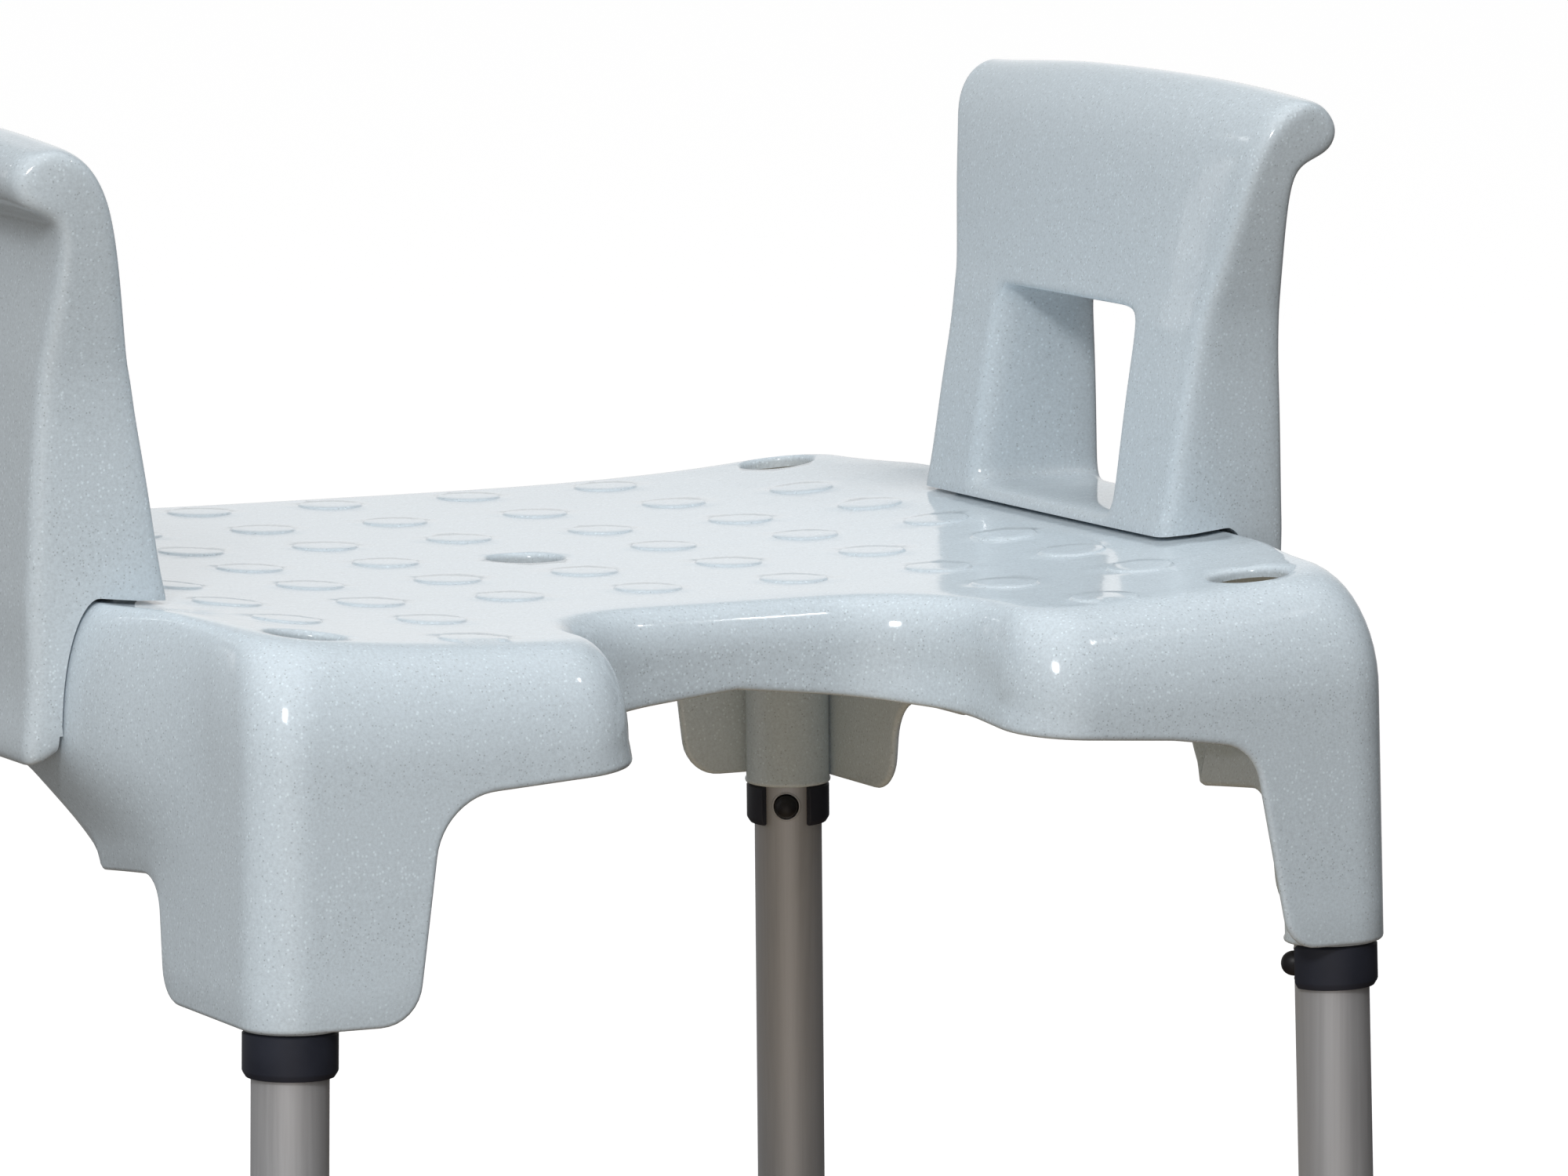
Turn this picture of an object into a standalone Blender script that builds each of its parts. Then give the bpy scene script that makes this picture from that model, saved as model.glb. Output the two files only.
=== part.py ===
# Height-adjustable shower chair: one moulded seat shell on four telescopic
# legs with spring push-buttons, and two lift-off armrests.
# Frame: metres, +Z up, floor at z = 0, X to the sitter's left-right axis,
# the recessed front edge faces -Y, origin at the middle of the footprint.
# Lengths in the constants below are millimetres.
import math

import bmesh
import bpy
from mathutils import Matrix, Vector

MM = 0.001

# ---------------------------------------------------------------- dimensions
SEAT_Z = 425.0            # seat surface at the corner drain holes, legs lowered
DISH = 6.3                # the middle of the seat lies this much lower
DISH_X = 195.0            # where the dish comes back to the nominal height
DISH_POWER = 3.5
WALL = 4.0                # thickness of the moulded shell
GAP = 0.3                 # clearance between touching pieces

LEG_X, LEG_Y = 212.4, 225.1     # leg axis in the plane of the hub's lower end
HUB_END = -136.8          # hub's lower end, below the seat surface
SPLAY = 0.0197            # outward run of a leg per unit of height, in X and Y
CORNER_R = 19.6           # shell corner wrapped round the leg hub

CREST_X = 216.0           # outline where the seat surface starts to turn down
CREST_Y = 216.0
CREST_R = 30.0
WALL_Z = -42.0            # where the turn ends and the side wall starts
BULGE_CREST = 18.0        # extra half-width in the middle of each side
BULGE_WALL = 18.9
RECESS_HALF = 79.0        # front recess, on the wall
RECESS_Y = -155.0
RECESS_R = 42.0
MOUTH_R = 28.0
RECESS_HALF_C = 91.0      # the same on the crest
RECESS_Y_C = -143.0
RECESS_R_C = 52.0
MOUTH_R_C = 16.0

DRAIN_R = 15.0            # drain holes
DRAIN_XY = [(-10.5, 7.5), (195.0, 201.0), (-195.0, 201.0), (-195.0, -201.0), (195.0, -201.0)]

TUBE_R, TUBE_WALL = 14.0, 1.5   # leg tube, outer radius and wall
GUIDE_R, GUIDE_WALL = 12.2, 1.6  # fixed guide tube inside it
BORE_R = 14.25
HUB_R = 17.3
LEG_TOP = 88.4            # along the leg from the hub's lower end
LEG_TRAVEL = 90.0
PITCH = 15.0              # spacing of the height holes
BUTTON_Z = -8.5           # push-button centre, along the leg
BUTTON_R = 4.95
BUTTON_PROUD = 5.0
BUTTON_TRAVEL = 6.8
HOLE_R = 5.3
COLLAR_R, COLLAR_H = 17.2, 16.8
FOOT_R = 20.5

ARM_Y = -6.0              # middle of each armrest
ARM_TOP = 174.0
SEG = 24                  # sides of the round pieces

# name, side of X, side of Y, direction in which the button points (degrees)
CORNERS = [
    ("front_left", -1, -1, 60.0),
    ("front_right", 1, -1, 150.0),
    ("rear_right", 1, 1, 240.0),
    ("rear_left", -1, 1, 330.0),
]

# ------------------------------------------------------------------ clean up
for old in list(bpy.data.objects):
    bpy.data.objects.remove(old, do_unlink=True)

model = bpy.data.collections.new("shower_chair")
cutters = bpy.data.collections.new("cutters")
bpy.context.scene.collection.children.link(model)
bpy.context.scene.collection.children.link(cutters)


# ----------------------------------------------------------------- materials
def material(name, color, roughness, metallic=0.0):
    mat = bpy.data.materials.new(name)
    mat.use_nodes = True
    bsdf = mat.node_tree.nodes["Principled BSDF"]
    bsdf.inputs["Base Color"].default_value = (*color, 1.0)
    bsdf.inputs["Roughness"].default_value = roughness
    bsdf.inputs["Metallic"].default_value = metallic
    return mat


SHELL = material("speckled_shell_plastic", (0.62, 0.68, 0.72), 0.28)
ARM = material("speckled_arm_plastic", (0.60, 0.66, 0.70), 0.28)
COLLAR = material("navy_collar_plastic", (0.03, 0.036, 0.055), 0.45)
BUTTON = material("black_button_plastic", (0.02, 0.02, 0.022), 0.4)
LEG = material("anodised_leg_tube", (0.35, 0.33, 0.33), 0.38, 1.0)
GUIDE = material("anodised_guide_tube", (0.42, 0.42, 0.42), 0.35, 1.0)
SPRING = material("spring_steel", (0.5, 0.5, 0.5), 0.3, 1.0)
WASHER = material("zinc_washer", (0.55, 0.55, 0.54), 0.4, 1.0)
RUBBER = material("foot_rubber", (0.045, 0.045, 0.048), 0.75)


# ------------------------------------------------------------------- helpers
def mesh_object(name, verts, faces, mat, collection, smooth=True, angle=35.0):
    mesh = bpy.data.meshes.new(name)
    mesh.from_pydata(verts, [], faces)
    mesh.update()
    obj = bpy.data.objects.new(name, mesh)
    collection.objects.link(obj)
    if mat is not None:
        mesh.materials.append(mat)
    if smooth and faces:
        mesh.shade_smooth()
        mesh.set_sharp_from_angle(angle=math.radians(angle))
    if collection is cutters:
        obj.hide_render = True
        obj.display_type = "WIRE"
    return obj


def turned(name, profile, mat, collection, closed=False, steps=SEG):
    """A turned piece: profile of (radius, height) in mm, top to bottom on its
    outer side, spun about the local Z axis."""
    verts = [(r * MM, 0.0, z * MM) for r, z in profile]
    edges = [(i, i + 1) for i in range(len(verts) - 1)]
    if closed:
        edges.append((len(verts) - 1, 0))
    mesh = bpy.data.meshes.new(name)
    mesh.from_pydata(verts, edges, [])
    obj = bpy.data.objects.new(name, mesh)
    collection.objects.link(obj)
    if mat is not None:
        mesh.materials.append(mat)
    screw = obj.modifiers.new("turn", "SCREW")
    screw.axis = "Z"
    screw.angle = math.tau
    screw.steps = steps
    screw.render_steps = steps
    screw.use_merge_vertices = True
    screw.merge_threshold = 0.00002
    screw.use_smooth_shade = True
    if collection is cutters:
        obj.hide_render = True
        obj.display_type = "WIRE"
    return obj


def boolean(obj, cutter, operation="DIFFERENCE"):
    """Cut or join with one object, or with all the objects of a list at once."""
    mod = obj.modifiers.new(operation.lower(), "BOOLEAN")
    mod.operation = operation
    mod.solver = "EXACT"
    if isinstance(cutter, list):
        group = bpy.data.collections.new(obj.name + "_" + operation.lower())
        cutters.children.link(group)
        for c in cutter:
            cutters.objects.unlink(c)
            group.objects.link(c)
        mod.operand_type = "COLLECTION"
        mod.collection = group
    else:
        mod.object = cutter
    return mod


def lerp(a, b, f):
    return a + (b - a) * f


def smoothstep(a, b, x):
    f = min(1.0, max(0.0, (x - a) / (b - a)))
    return f * f * (3.0 - 2.0 * f)


def fillet(points, radii, counts):
    """A polyline with rounded corners, as a list of points."""
    out = [points[0]]
    for i in range(1, len(points) - 1):
        p, v, n = Vector(points[i - 1]), Vector(points[i]), Vector(points[i + 1])
        d1, d2 = (p - v).normalized(), (n - v).normalized()
        cosine = max(-1.0, min(1.0, d1.dot(d2)))
        half = math.acos(cosine) / 2.0
        if radii[i] <= 0.0 or half > math.radians(89.0):
            out.append(tuple(v))
            continue
        reach = radii[i] / math.tan(half)
        start, end = v + d1 * reach, v + d2 * reach
        centre = v + (d1 + d2).normalized() * (radii[i] / math.sin(half))
        a0, a1 = start - centre, end - centre
        total = a0.angle_signed(a1)
        for k in range(counts[i] + 1):
            turn = -total * k / counts[i]
            c, s = math.cos(turn), math.sin(turn)
            out.append((centre.x + a0.x * c - a0.y * s, centre.y + a0.x * s + a0.y * c))
    out.append(points[-1])
    return out


# ------------------------------------------------------ outline of the shell
# Half outline, x >= 0, from the middle of the recess round the front and the
# side to the middle of the rear edge. It is 9 pieces, lines and arcs by turns,
# and a place on it is piece number plus fraction.
def outline_parts(rec_y, rec_half, rec_r, mouth_r, cx, cy, r):
    """cx, cy: centre of the corner arcs; r: their radius."""
    side, front, rear = cx + r, -(cy + r), cy + r
    return [
        ("line", (0.0, rec_y), (rec_half - rec_r, rec_y)),
        ("arc", (rec_half - rec_r, rec_y - rec_r), rec_r, 90.0, 0.0),
        ("line", (rec_half, rec_y - rec_r), (rec_half, front + mouth_r)),
        ("arc", (rec_half + mouth_r, front + mouth_r), mouth_r, 180.0, 270.0),
        ("line", (rec_half + mouth_r, front), (cx, front)),
        ("arc", (cx, -cy), r, 270.0, 360.0),
        ("line", (side, -cy), (side, cy)),
        ("arc", (cx, cy), r, 0.0, 90.0),
        ("line", (cx, rear), (0.0, rear)),
    ]


def on_outline(parts, t):
    i = min(8, int(t))
    f = t - i
    part = parts[i]
    if part[0] == "line":
        (x0, y0), (x1, y1) = part[1], part[2]
        return lerp(x0, x1, f), lerp(y0, y1, f)
    (cx, cy), r, a0, a1 = part[1], part[2], part[3], part[4]
    a = math.radians(lerp(a0, a1, f))
    return cx + r * math.cos(a), cy + r * math.sin(a)


def part_length(part):
    if part[0] == "line":
        return math.dist(part[1], part[2])
    return abs(math.radians(part[4] - part[3])) * part[2]


def leg_at(z):
    """Leg axis at height z (mm, from the seat surface)."""
    drop = (HUB_END - z) * SPLAY
    return LEG_X + drop, LEG_Y + drop


def wall_parts(z):
    cx, cy = leg_at(z)
    return outline_parts(RECESS_Y, RECESS_HALF, RECESS_R, MOUTH_R, cx, cy, CORNER_R)


CREST_PARTS = outline_parts(
    RECESS_Y_C, RECESS_HALF_C, RECESS_R_C, MOUTH_R_C,
    CREST_X - CREST_R, CREST_Y - CREST_R, CREST_R,
)
REFERENCE = wall_parts(-90.0)
STATIONS = [0.0]
for piece in REFERENCE:
    STATIONS.append(STATIONS[-1] + part_length(piece))
L_END = STATIONS[-1]


def to_t(l):
    for i in range(9):
        if l <= STATIONS[i + 1] or i == 8:
            return min(9.0, i + max(0.0, l - STATIONS[i]) / (STATIONS[i + 1] - STATIONS[i]))
    return 9.0


def bulge(y, z):
    """Widening of the seat where the armrests stand, fading below."""
    along = 1.0 - smoothstep(100.0, 196.0, abs(y))
    return along * (1.0 - smoothstep(45.0, 95.0, -z))


def wall_point(l, z):
    x, y = on_outline(wall_parts(z), to_t(l))
    if x > 150.0:
        x += BULGE_WALL * bulge(y, z)
    return x, y


def dish(x, y):
    return -DISH + DISH * (abs(x) / DISH_X) ** DISH_POWER


def crest_point(l):
    x, y = on_outline(CREST_PARTS, to_t(l))
    if x > 150.0:
        x += BULGE_CREST * bulge(y, 0.0)
    return x, y, dish(x, y)


def turn_depth(l):
    """Height of the rounded edge between the crest and the wall."""
    t = to_t(l)
    table = [(0.0, 17.0), (1.0, 18.0), (2.0, 22.0), (3.0, 34.0), (4.0, 41.0), (5.0, 44.0),
             (6.0, 46.0), (6.5, 46.0), (7.0, 46.0), (8.0, 42.0), (9.0, 36.0)]
    for (a, va), (b, vb) in zip(table, table[1:]):
        if t <= b:
            return lerp(va, vb, smoothstep(a, b, t))
    return table[-1][1]


# ------------------------------------------------- lower edge of the shell
# Drawn on the unrolled wall: distance along the outline, height.
def l_front(x):
    return STATIONS[4] + (x - REFERENCE[4][1][0])


def l_side(y):
    return STATIONS[6] + (y - REFERENCE[6][1][1])


def l_rear(x):
    return STATIONS[8] + (REFERENCE[8][1][0] - x)


EDGE = [
    ((0.0, -38.0), 0.0, 1),
    ((STATIONS[1] + 30.0, -45.5), 0.0, 1),
    ((STATIONS[3], -49.5), 0.0, 1),
    ((l_front(158.5), -56.0), 25.0, 3),
    ((l_front(168.5), -136.5), 17.0, 3),
    ((l_side(-155.0), -136.5), 17.0, 3),
    ((l_side(-149.0), -95.0), 20.0, 2),
    ((l_side(ARM_Y - 95.0), -95.0), 9.0, 1),
    ((l_side(ARM_Y - 92.0), -62.0), 9.0, 1),
    ((l_side(ARM_Y + 92.0), -62.0), 9.0, 1),
    ((l_side(ARM_Y + 95.0), -95.0), 9.0, 1),
    ((l_side(154.0), -95.0), 20.0, 2),
    ((l_side(160.0), -135.0), 17.0, 3),
    ((l_rear(170.0), -135.0), 17.0, 3),
    ((l_rear(160.0), -52.0), 25.0, 3),
    ((L_END, -48.0), 0.0, 1),
]
edge_line = fillet([e[0] for e in EDGE], [e[1] for e in EDGE], [e[2] for e in EDGE])

# stations that the plan's own arcs need
needed = []
for i, n in ((1, 4), (3, 3), (5, 4), (7, 4)):
    needed += [lerp(STATIONS[i], STATIONS[i + 1], k / n) for k in range(n + 1)]
needed += [lerp(STATIONS[0], STATIONS[1], 0.5), lerp(STATIONS[2], STATIONS[3], 0.5)]
needed += [lerp(STATIONS[4], l_front(150.0), k / 2) for k in range(1, 2)]
needed += [l_side(y) for y in (-60.0, -20.0, 20.0, 60.0)]
needed += [lerp(l_rear(150.0), L_END, k / 4) for k in range(1, 4)]

columns = [(l, z) for l, z in edge_line]


def edge_height(l):
    for (a, za), (b, zb) in zip(edge_line, edge_line[1:]):
        if a <= l <= b:
            return za if b - a < 1e-9 else lerp(za, zb, (l - a) / (b - a))
    return edge_line[-1][1]


for l in needed:
    if all(abs(l - c[0]) > 4.0 for c in columns):
        columns.append((l, edge_height(l)))
columns.sort(key=lambda c: (c[0], 0.0))
M = len(columns)

# on the crest the same columns are spread more evenly, apart from the arcs
top_l = [c[0] for c in columns]
for _ in range(12):
    nxt = list(top_l)
    for i in range(1, M - 1):
        in_arc = any(STATIONS[k] - 0.5 <= columns[i][0] <= STATIONS[k + 1] + 0.5 for k in (1, 3, 5, 7))
        if not in_arc:
            nxt[i] = 0.5 * top_l[i] + 0.25 * (top_l[i - 1] + top_l[i + 1])
    top_l = nxt

# ------------------------------------------------------- surface of the shell
TURN_RINGS = 3
WALL_RINGS = 2
TOP_RINGS = 2
CORE_RINGS = 1
CORE_C = (0.0, 42.0)
CORE_A, CORE_B = 130.0, 112.0
KNOTS = [(0.0, -90.0), (1.0, -80.0), (2.0, -38.0), (3.0, -36.5), (4.0, -34.0), (5.0, -22.0), (6.5, 0.0),
         (7.5, 42.0), (9.0, 90.0)]


def core_point(t):
    for (a, va), (b, vb) in zip(KNOTS, KNOTS[1:]):
        if t <= b:
            angle = math.radians(lerp(va, vb, (t - a) / (b - a)))
            break
    return CORE_C[0] + CORE_A * math.cos(angle), CORE_C[1] + CORE_B * math.sin(angle)


def bezier(p0, p1, p2, p3, f):
    g = 1.0 - f
    return tuple(
        g ** 3 * a + 3 * g * g * f * b + 3 * g * f * f * c + f ** 3 * d
        for a, b, c, d in zip(p0, p1, p2, p3)
    )


def column_points(lt, lb, zb):
    """Points of one column, from the middle of the seat to the lower edge."""
    t = to_t(lt)
    qx, qy = core_point(t)
    cx, cy, cz = crest_point(lt)
    pts = []
    for k in range(1, CORE_RINGS + 1):
        f = k / CORE_RINGS
        x, y = lerp(CORE_C[0], qx, f), lerp(CORE_C[1], qy, f)
        pts.append((x, y, dish(x, y)))
    for k in range(1, TOP_RINGS):
        f = k / TOP_RINGS
        x, y = lerp(qx, cx, f), lerp(qy, cy, f)
        pts.append((x, y, dish(x, y)))
    zw = cz - turn_depth(lt)
    wx, wy = wall_point(lt, zw)
    k = 0.56
    dx, dy = wx - cx, wy - cy
    step = 0.5
    slope = (dish(cx + dx / math.hypot(dx, dy) * step, cy) - cz) / step
    p1 = (cx + dx * k, cy + dy * k, cz + slope * math.hypot(dx, dy) * k * 0.8)
    p2 = (wx, wy, zw + turn_depth(lt) * k)
    for j in range(TURN_RINGS + 1):
        pts.append(bezier((cx, cy, cz), p1, p2, (wx, wy, zw), j / TURN_RINGS))
    for j in range(1, WALL_RINGS + 1):
        f = j / WALL_RINGS
        z = lerp(zw, zb, f)
        x, y = wall_point(lerp(lt, lb, f), z)
        pts.append((x, y, z))
    return pts


verts = [(CORE_C[0] * MM, CORE_C[1] * MM, (SEAT_Z + dish(*CORE_C)) * MM)]
rows = []
for (lb, zb), lt in zip(columns, top_l):
    row = []
    for x, y, z in column_points(lt, lb, zb):
        if lt in (top_l[0], top_l[-1]):
            x = 0.0
        row.append(len(verts))
        verts.append((x * MM, y * MM, (SEAT_Z + z) * MM))
    rows.append(row)
faces = []
for a, b in zip(rows, rows[1:]):
    faces.append((0, a[0], b[0]))
    for k in range(len(a) - 1):
        p, q, r, s = a[k], a[k + 1], b[k + 1], b[k]
        if math.dist(verts[p], verts[r]) < math.dist(verts[q], verts[s]):
            faces += [(p, q, r), (p, r, s)]
        else:
            faces += [(p, q, s), (q, r, s)]

seat = mesh_object("seat_shell", verts, faces, SHELL, model)
mirror = seat.modifiers.new("mirror", "MIRROR")
mirror.use_axis[0] = True
mirror.merge_threshold = 0.00005
solid = seat.modifiers.new("wall", "SOLIDIFY")
solid.thickness = WALL * MM
solid.offset = -1.0
solid.use_even_offset = True


# ---------------------------------------------------------- leg frames
HALF_STEP = Matrix.Rotation(math.pi / SEG, 4, "Z")   # a flat, not an edge, faces the button


def leg_matrix(sx, sy, heading):
    up = Vector((-sx * SPLAY, -sy * SPLAY, 1.0)).normalized()
    out = Vector((math.cos(math.radians(heading)), math.sin(math.radians(heading)), 0.0))
    out = (out - up * out.dot(up)).normalized()
    across = up.cross(out)
    m = Matrix((out, across, up)).transposed().to_4x4()
    m.translation = Vector((sx * LEG_X * MM, sy * LEG_Y * MM, (SEAT_Z + HUB_END) * MM))
    return m


def radial(name, profile, mat, collection, matrix, z, steps=16):
    """A turned piece whose axis points along the leg frame's +X."""
    obj = turned(name, profile, mat, collection, steps=steps)
    obj.matrix_world = matrix @ Matrix.Translation((0.0, 0.0, z * MM)) @ Matrix.Rotation(math.pi / 2, 4, "Y")
    return obj


# where the leg's axis meets the floor, along the leg
floor_l = -(SEAT_Z + HUB_END) / math.cos(math.atan(SPLAY * math.sqrt(2)))

hubs = []
for name, sx, sy, heading in CORNERS:
    frame = leg_matrix(sx, sy, heading)

    # hub: a solid boss joined to the shell's corner, then bored
    hub = turned("hub_" + name, [(0.0, 109.0), (11.0, 105.0), (15.6, 98.0), (HUB_R, 90.0), (HUB_R, 0.0), (0.0, 0.0)],
                 None, cutters)
    hub.matrix_world = frame
    hubs.append(hub)
boolean(seat, hubs, "UNION")
seat_cuts = []

for name, sx, sy, heading in CORNERS:
    frame = leg_matrix(sx, sy, heading)
    bore = turned("bore_" + name, [(0.0, 97.0), (12.5, 97.0), (12.5, 89.0), (BORE_R, 89.0),
                                   (BORE_R, -20.0), (0.0, -20.0)], None, cutters)
    bore.matrix_world = frame @ HALF_STEP
    seat_cuts.append(bore)

    # leg tube with its row of height holes on the button's side
    tube = turned("leg_tube_" + name, [(TUBE_R, LEG_TOP), (TUBE_R, floor_l + 11.2),
                                       (TUBE_R - TUBE_WALL, floor_l + 11.2), (TUBE_R - TUBE_WALL, LEG_TOP)],
                  LEG, model, closed=True)
    tube.matrix_world = frame @ HALF_STEP
    steps_n = int(round(LEG_TRAVEL / PITCH)) + 1
    holes = []
    for n in range(steps_n):
        hole = radial("height_hole_%s_%d" % (name, n), [(0.0, 20.0), (HOLE_R, 20.0), (HOLE_R, 8.0), (0.0, 8.0)],
                      None, cutters, frame, BUTTON_Z + PITCH * n, steps=12)
        holes.append(hole)
    boolean(tube, holes)

    # guide tube fixed in the hub, inside the leg
    guide = turned("guide_tube_" + name, [(GUIDE_R, 96.0), (GUIDE_R, -140.0),
                                          (GUIDE_R - GUIDE_WALL, -140.0), (GUIDE_R - GUIDE_WALL, 96.0)],
                   GUIDE, model, closed=True)
    guide.matrix_world = frame @ HALF_STEP
    hole = radial("guide_hole_" + name, [(0.0, 20.0), (HOLE_R, 20.0), (HOLE_R, 6.0), (0.0, 6.0)],
                  None, cutters, frame, BUTTON_Z, steps=12)
    boolean(guide, hole)

    # collar clip, open on the button's side
    r, h = COLLAR_R, COLLAR_H
    collar = turned("collar_" + name, [(r - 0.4, -GAP), (r, -GAP - 0.6), (r, -h + 2.4), (r - 1.6, -h),
                                       (BORE_R + 0.05, -h), (BORE_R + 0.05, -GAP)], COLLAR, model, closed=True)
    collar.matrix_world = frame @ HALF_STEP
    bpy.ops.mesh.primitive_cube_add(size=1.0)
    slot = bpy.context.active_object
    slot.name = "collar_slot_" + name
    for c in list(slot.users_collection):
        c.objects.unlink(slot)
    cutters.objects.link(slot)
    slot.hide_render = True
    slot.display_type = "WIRE"
    slot.matrix_world = frame @ Matrix.Translation((15.0 * MM, 0.0, -10.0 * MM)) @ Matrix.Diagonal(
        (20.0 * MM, 20.0 * MM, 40.0 * MM, 1.0))
    boolean(collar, slot)

    # push-button: domed head on a stem with a retaining flange
    tip = TUBE_R + BUTTON_PROUD
    b = BUTTON_R
    button = radial("push_button_" + name, [(0.0, tip), (b - 1.6, tip - 0.25), (b - 0.4, tip - 1.0), (b, tip - 2.0),
                                            (b, 7.6), (6.3, 7.6), (6.3, 6.0), (0.0, 6.0)],
                    BUTTON, model, frame, BUTTON_Z)

    # leaf spring behind the button, bent over and resting on the far wall
    path = [(5.3, -20.0), (5.3, -2.0), (4.4, 6.0), (2.2, 11.0), (-0.8, 13.2), (-3.8, 11.6), (-5.8, 7.0),
            (-8.2, -6.0), (-9.15, -16.0), (-9.2, -26.0)]
    rise = BUTTON_Z + 12.8
    sv = [(x * MM, y * MM, (z + rise) * MM) for x, z in path for y in (-3.6, 3.6)]
    sf = [(2 * i, 2 * i + 1, 2 * i + 3, 2 * i + 2) for i in range(len(path) - 1)]
    clip = mesh_object("spring_clip_" + name, sv, sf, SPRING, model, smooth=False)
    clip.matrix_world = frame
    thick = clip.modifiers.new("strip", "SOLIDIFY")
    thick.thickness = 0.6 * MM
    thick.offset = 0.0
    thick.use_even_offset = True

    # steel washer under the tube's end
    washer = turned("foot_washer_" + name, [(TUBE_R - 0.3, floor_l + 10.8), (TUBE_R - 0.3, floor_l + 9.3),
                                            (4.0, floor_l + 9.3), (4.0, floor_l + 10.8)], WASHER, model,
                    closed=True)
    washer.matrix_world = frame @ HALF_STEP

    # rubber ferrule, cut flat by the floor
    f = floor_l
    foot = turned("rubber_foot_" + name, [(0.0, f + 9.0), (BORE_R + 0.05, f + 9.0), (BORE_R + 0.05, f + 40.0),
                                          (18.0, f + 40.0), (18.0, f + 17.0), (20.3, f + 8.0), (FOOT_R, f - 1.2),
                                          (0.0, f - 1.2)],
                  RUBBER, model)
    foot.matrix_world = frame @ HALF_STEP



# ------------------------------------------------------------ simple cutters
def box_cutter(name, lo, hi):
    """Box between two corners, in mm above the floor."""
    bpy.ops.mesh.primitive_cube_add(size=1.0)
    obj = bpy.context.active_object
    obj.name = name
    for c in list(obj.users_collection):
        c.objects.unlink(obj)
    cutters.objects.link(obj)
    obj.hide_render = True
    obj.display_type = "WIRE"
    size = [(b - a) * MM for a, b in zip(lo, hi)]
    mid = [(a + b) * 0.5 * MM for a, b in zip(lo, hi)]
    obj.matrix_world = Matrix.Translation(mid) @ Matrix.Diagonal((*size, 1.0))
    return obj


# the front right paw is narrower than the front left one: its inner edge is trimmed back
TRIM = [(138.0, -57.2), (152.0, -58.0), (161.0, -61.5), (168.0, -67.5), (172.0, -76.0), (180.4, -124.0),
        (182.6, -129.5), (186.5, -133.6), (193.0, -136.0), (193.0, -152.0), (138.0, -152.0)]
tv = [(x * MM, y * MM, (SEAT_Z + z) * MM) for y in (-262.0, -222.0) for x, z in TRIM]
m = len(TRIM)
tf = [tuple(range(m)), tuple(reversed(range(m, 2 * m)))]
tf += [(k, m + k, m + (k + 1) % m, (k + 1) % m) for k in range(m)]
trim = mesh_object("paw_trim", tv, tf, None, cutters)
fix = bmesh.new()
fix.from_mesh(trim.data)
bmesh.ops.recalc_face_normals(fix, faces=fix.faces)
fix.to_mesh(trim.data)
fix.free()
seat_cuts.append(trim)

floor_block = box_cutter("floor_block", (-400, -400, -40), (400, 400, 0))
for name, sx, sy, heading in CORNERS:
    boolean(bpy.data.objects["rubber_foot_" + name], floor_block)

for i, (x, y) in enumerate(DRAIN_XY):
    drain = turned("drain_%d" % i, [(0.0, SEAT_Z + 20.0), (DRAIN_R, SEAT_Z + 20.0), (DRAIN_R, SEAT_Z - 17.0),
                                    (0.0, SEAT_Z - 17.0)], None, cutters, steps=20)
    drain.matrix_world = Matrix.Translation((x * MM, y * MM, 0.0)) @ Matrix.Rotation(math.pi / 20, 4, "Z")
    seat_cuts.append(drain)

# ---------------------------------------------------------------- armrests
ARM_INNER = [(206.0, -22.0), (206.5, 2.0), (212.5, 32.0), (219.5, 70.0), (225.0, 100.0), (231.0, 130.0),
             (236.5, 152.0), (241.0, 163.0), (247.0, 170.3), (254.5, ARM_TOP)]
ARM_OUTER = [(262.0, 172.6), (268.8, 168.8), (273.2, 161.5), (272.8, 153.0), (268.5, 147.2), (262.5, 144.2),
             (257.5, 140.5), (255.2, 133.0), (256.5, 110.0), (258.8, 80.0), (260.5, 30.0), (261.2, -20.0),
             (260.2, -50.0), (257.5, -56.0), (246.0, -56.0)]
ARM_PROFILE = ARM_INNER + ARM_OUTER
ARM_HALF = [(-60.0, 99.0), (0.0, 100.0), (76.0, 101.0), (90.0, 103.5), (104.0, 108.5), (119.0, 114.0),
            (135.0, 119.0), (157.0, 124.0), (180.0, 126.0)]
ARM_END_R = 9.0
TONGUE = (215.0, 224.0)        # tongues that plug into the seat, in X
TONGUE_HALF = 12.0
TONGUE_END = -34.0
TONGUE_Y = (-77.0, 77.0)


def half_width(z):
    for (a, va), (b, vb) in zip(ARM_HALF, ARM_HALF[1:]):
        if z <= b:
            return lerp(va, vb, max(0.0, (z - a) / (b - a)))
    return ARM_HALF[-1][1]


def inset_profile(points, amount):
    n = len(points)
    out = []
    for i in range(n):
        p, v, q = Vector(points[i - 1]), Vector(points[i]), Vector(points[(i + 1) % n])
        d1, d2 = (v - p).normalized(), (q - v).normalized()
        n1, n2 = Vector((d1.y, -d1.x)), Vector((d2.y, -d2.x))
        m = (n1 + n2).normalized()
        out.append(tuple(v + m * amount / max(0.6, m.dot(n1))))
    return out


stations = []
for angle in (90.0, 60.0, 30.0, 0.0):
    a = math.radians(angle)
    stations.append((-1, math.sin(a), ARM_END_R * (1.0 - math.cos(a))))
stations.append((0, 0.0, 0.0))
for side, push, inset in reversed(stations[:4]):
    stations.append((1, push, inset))

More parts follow.
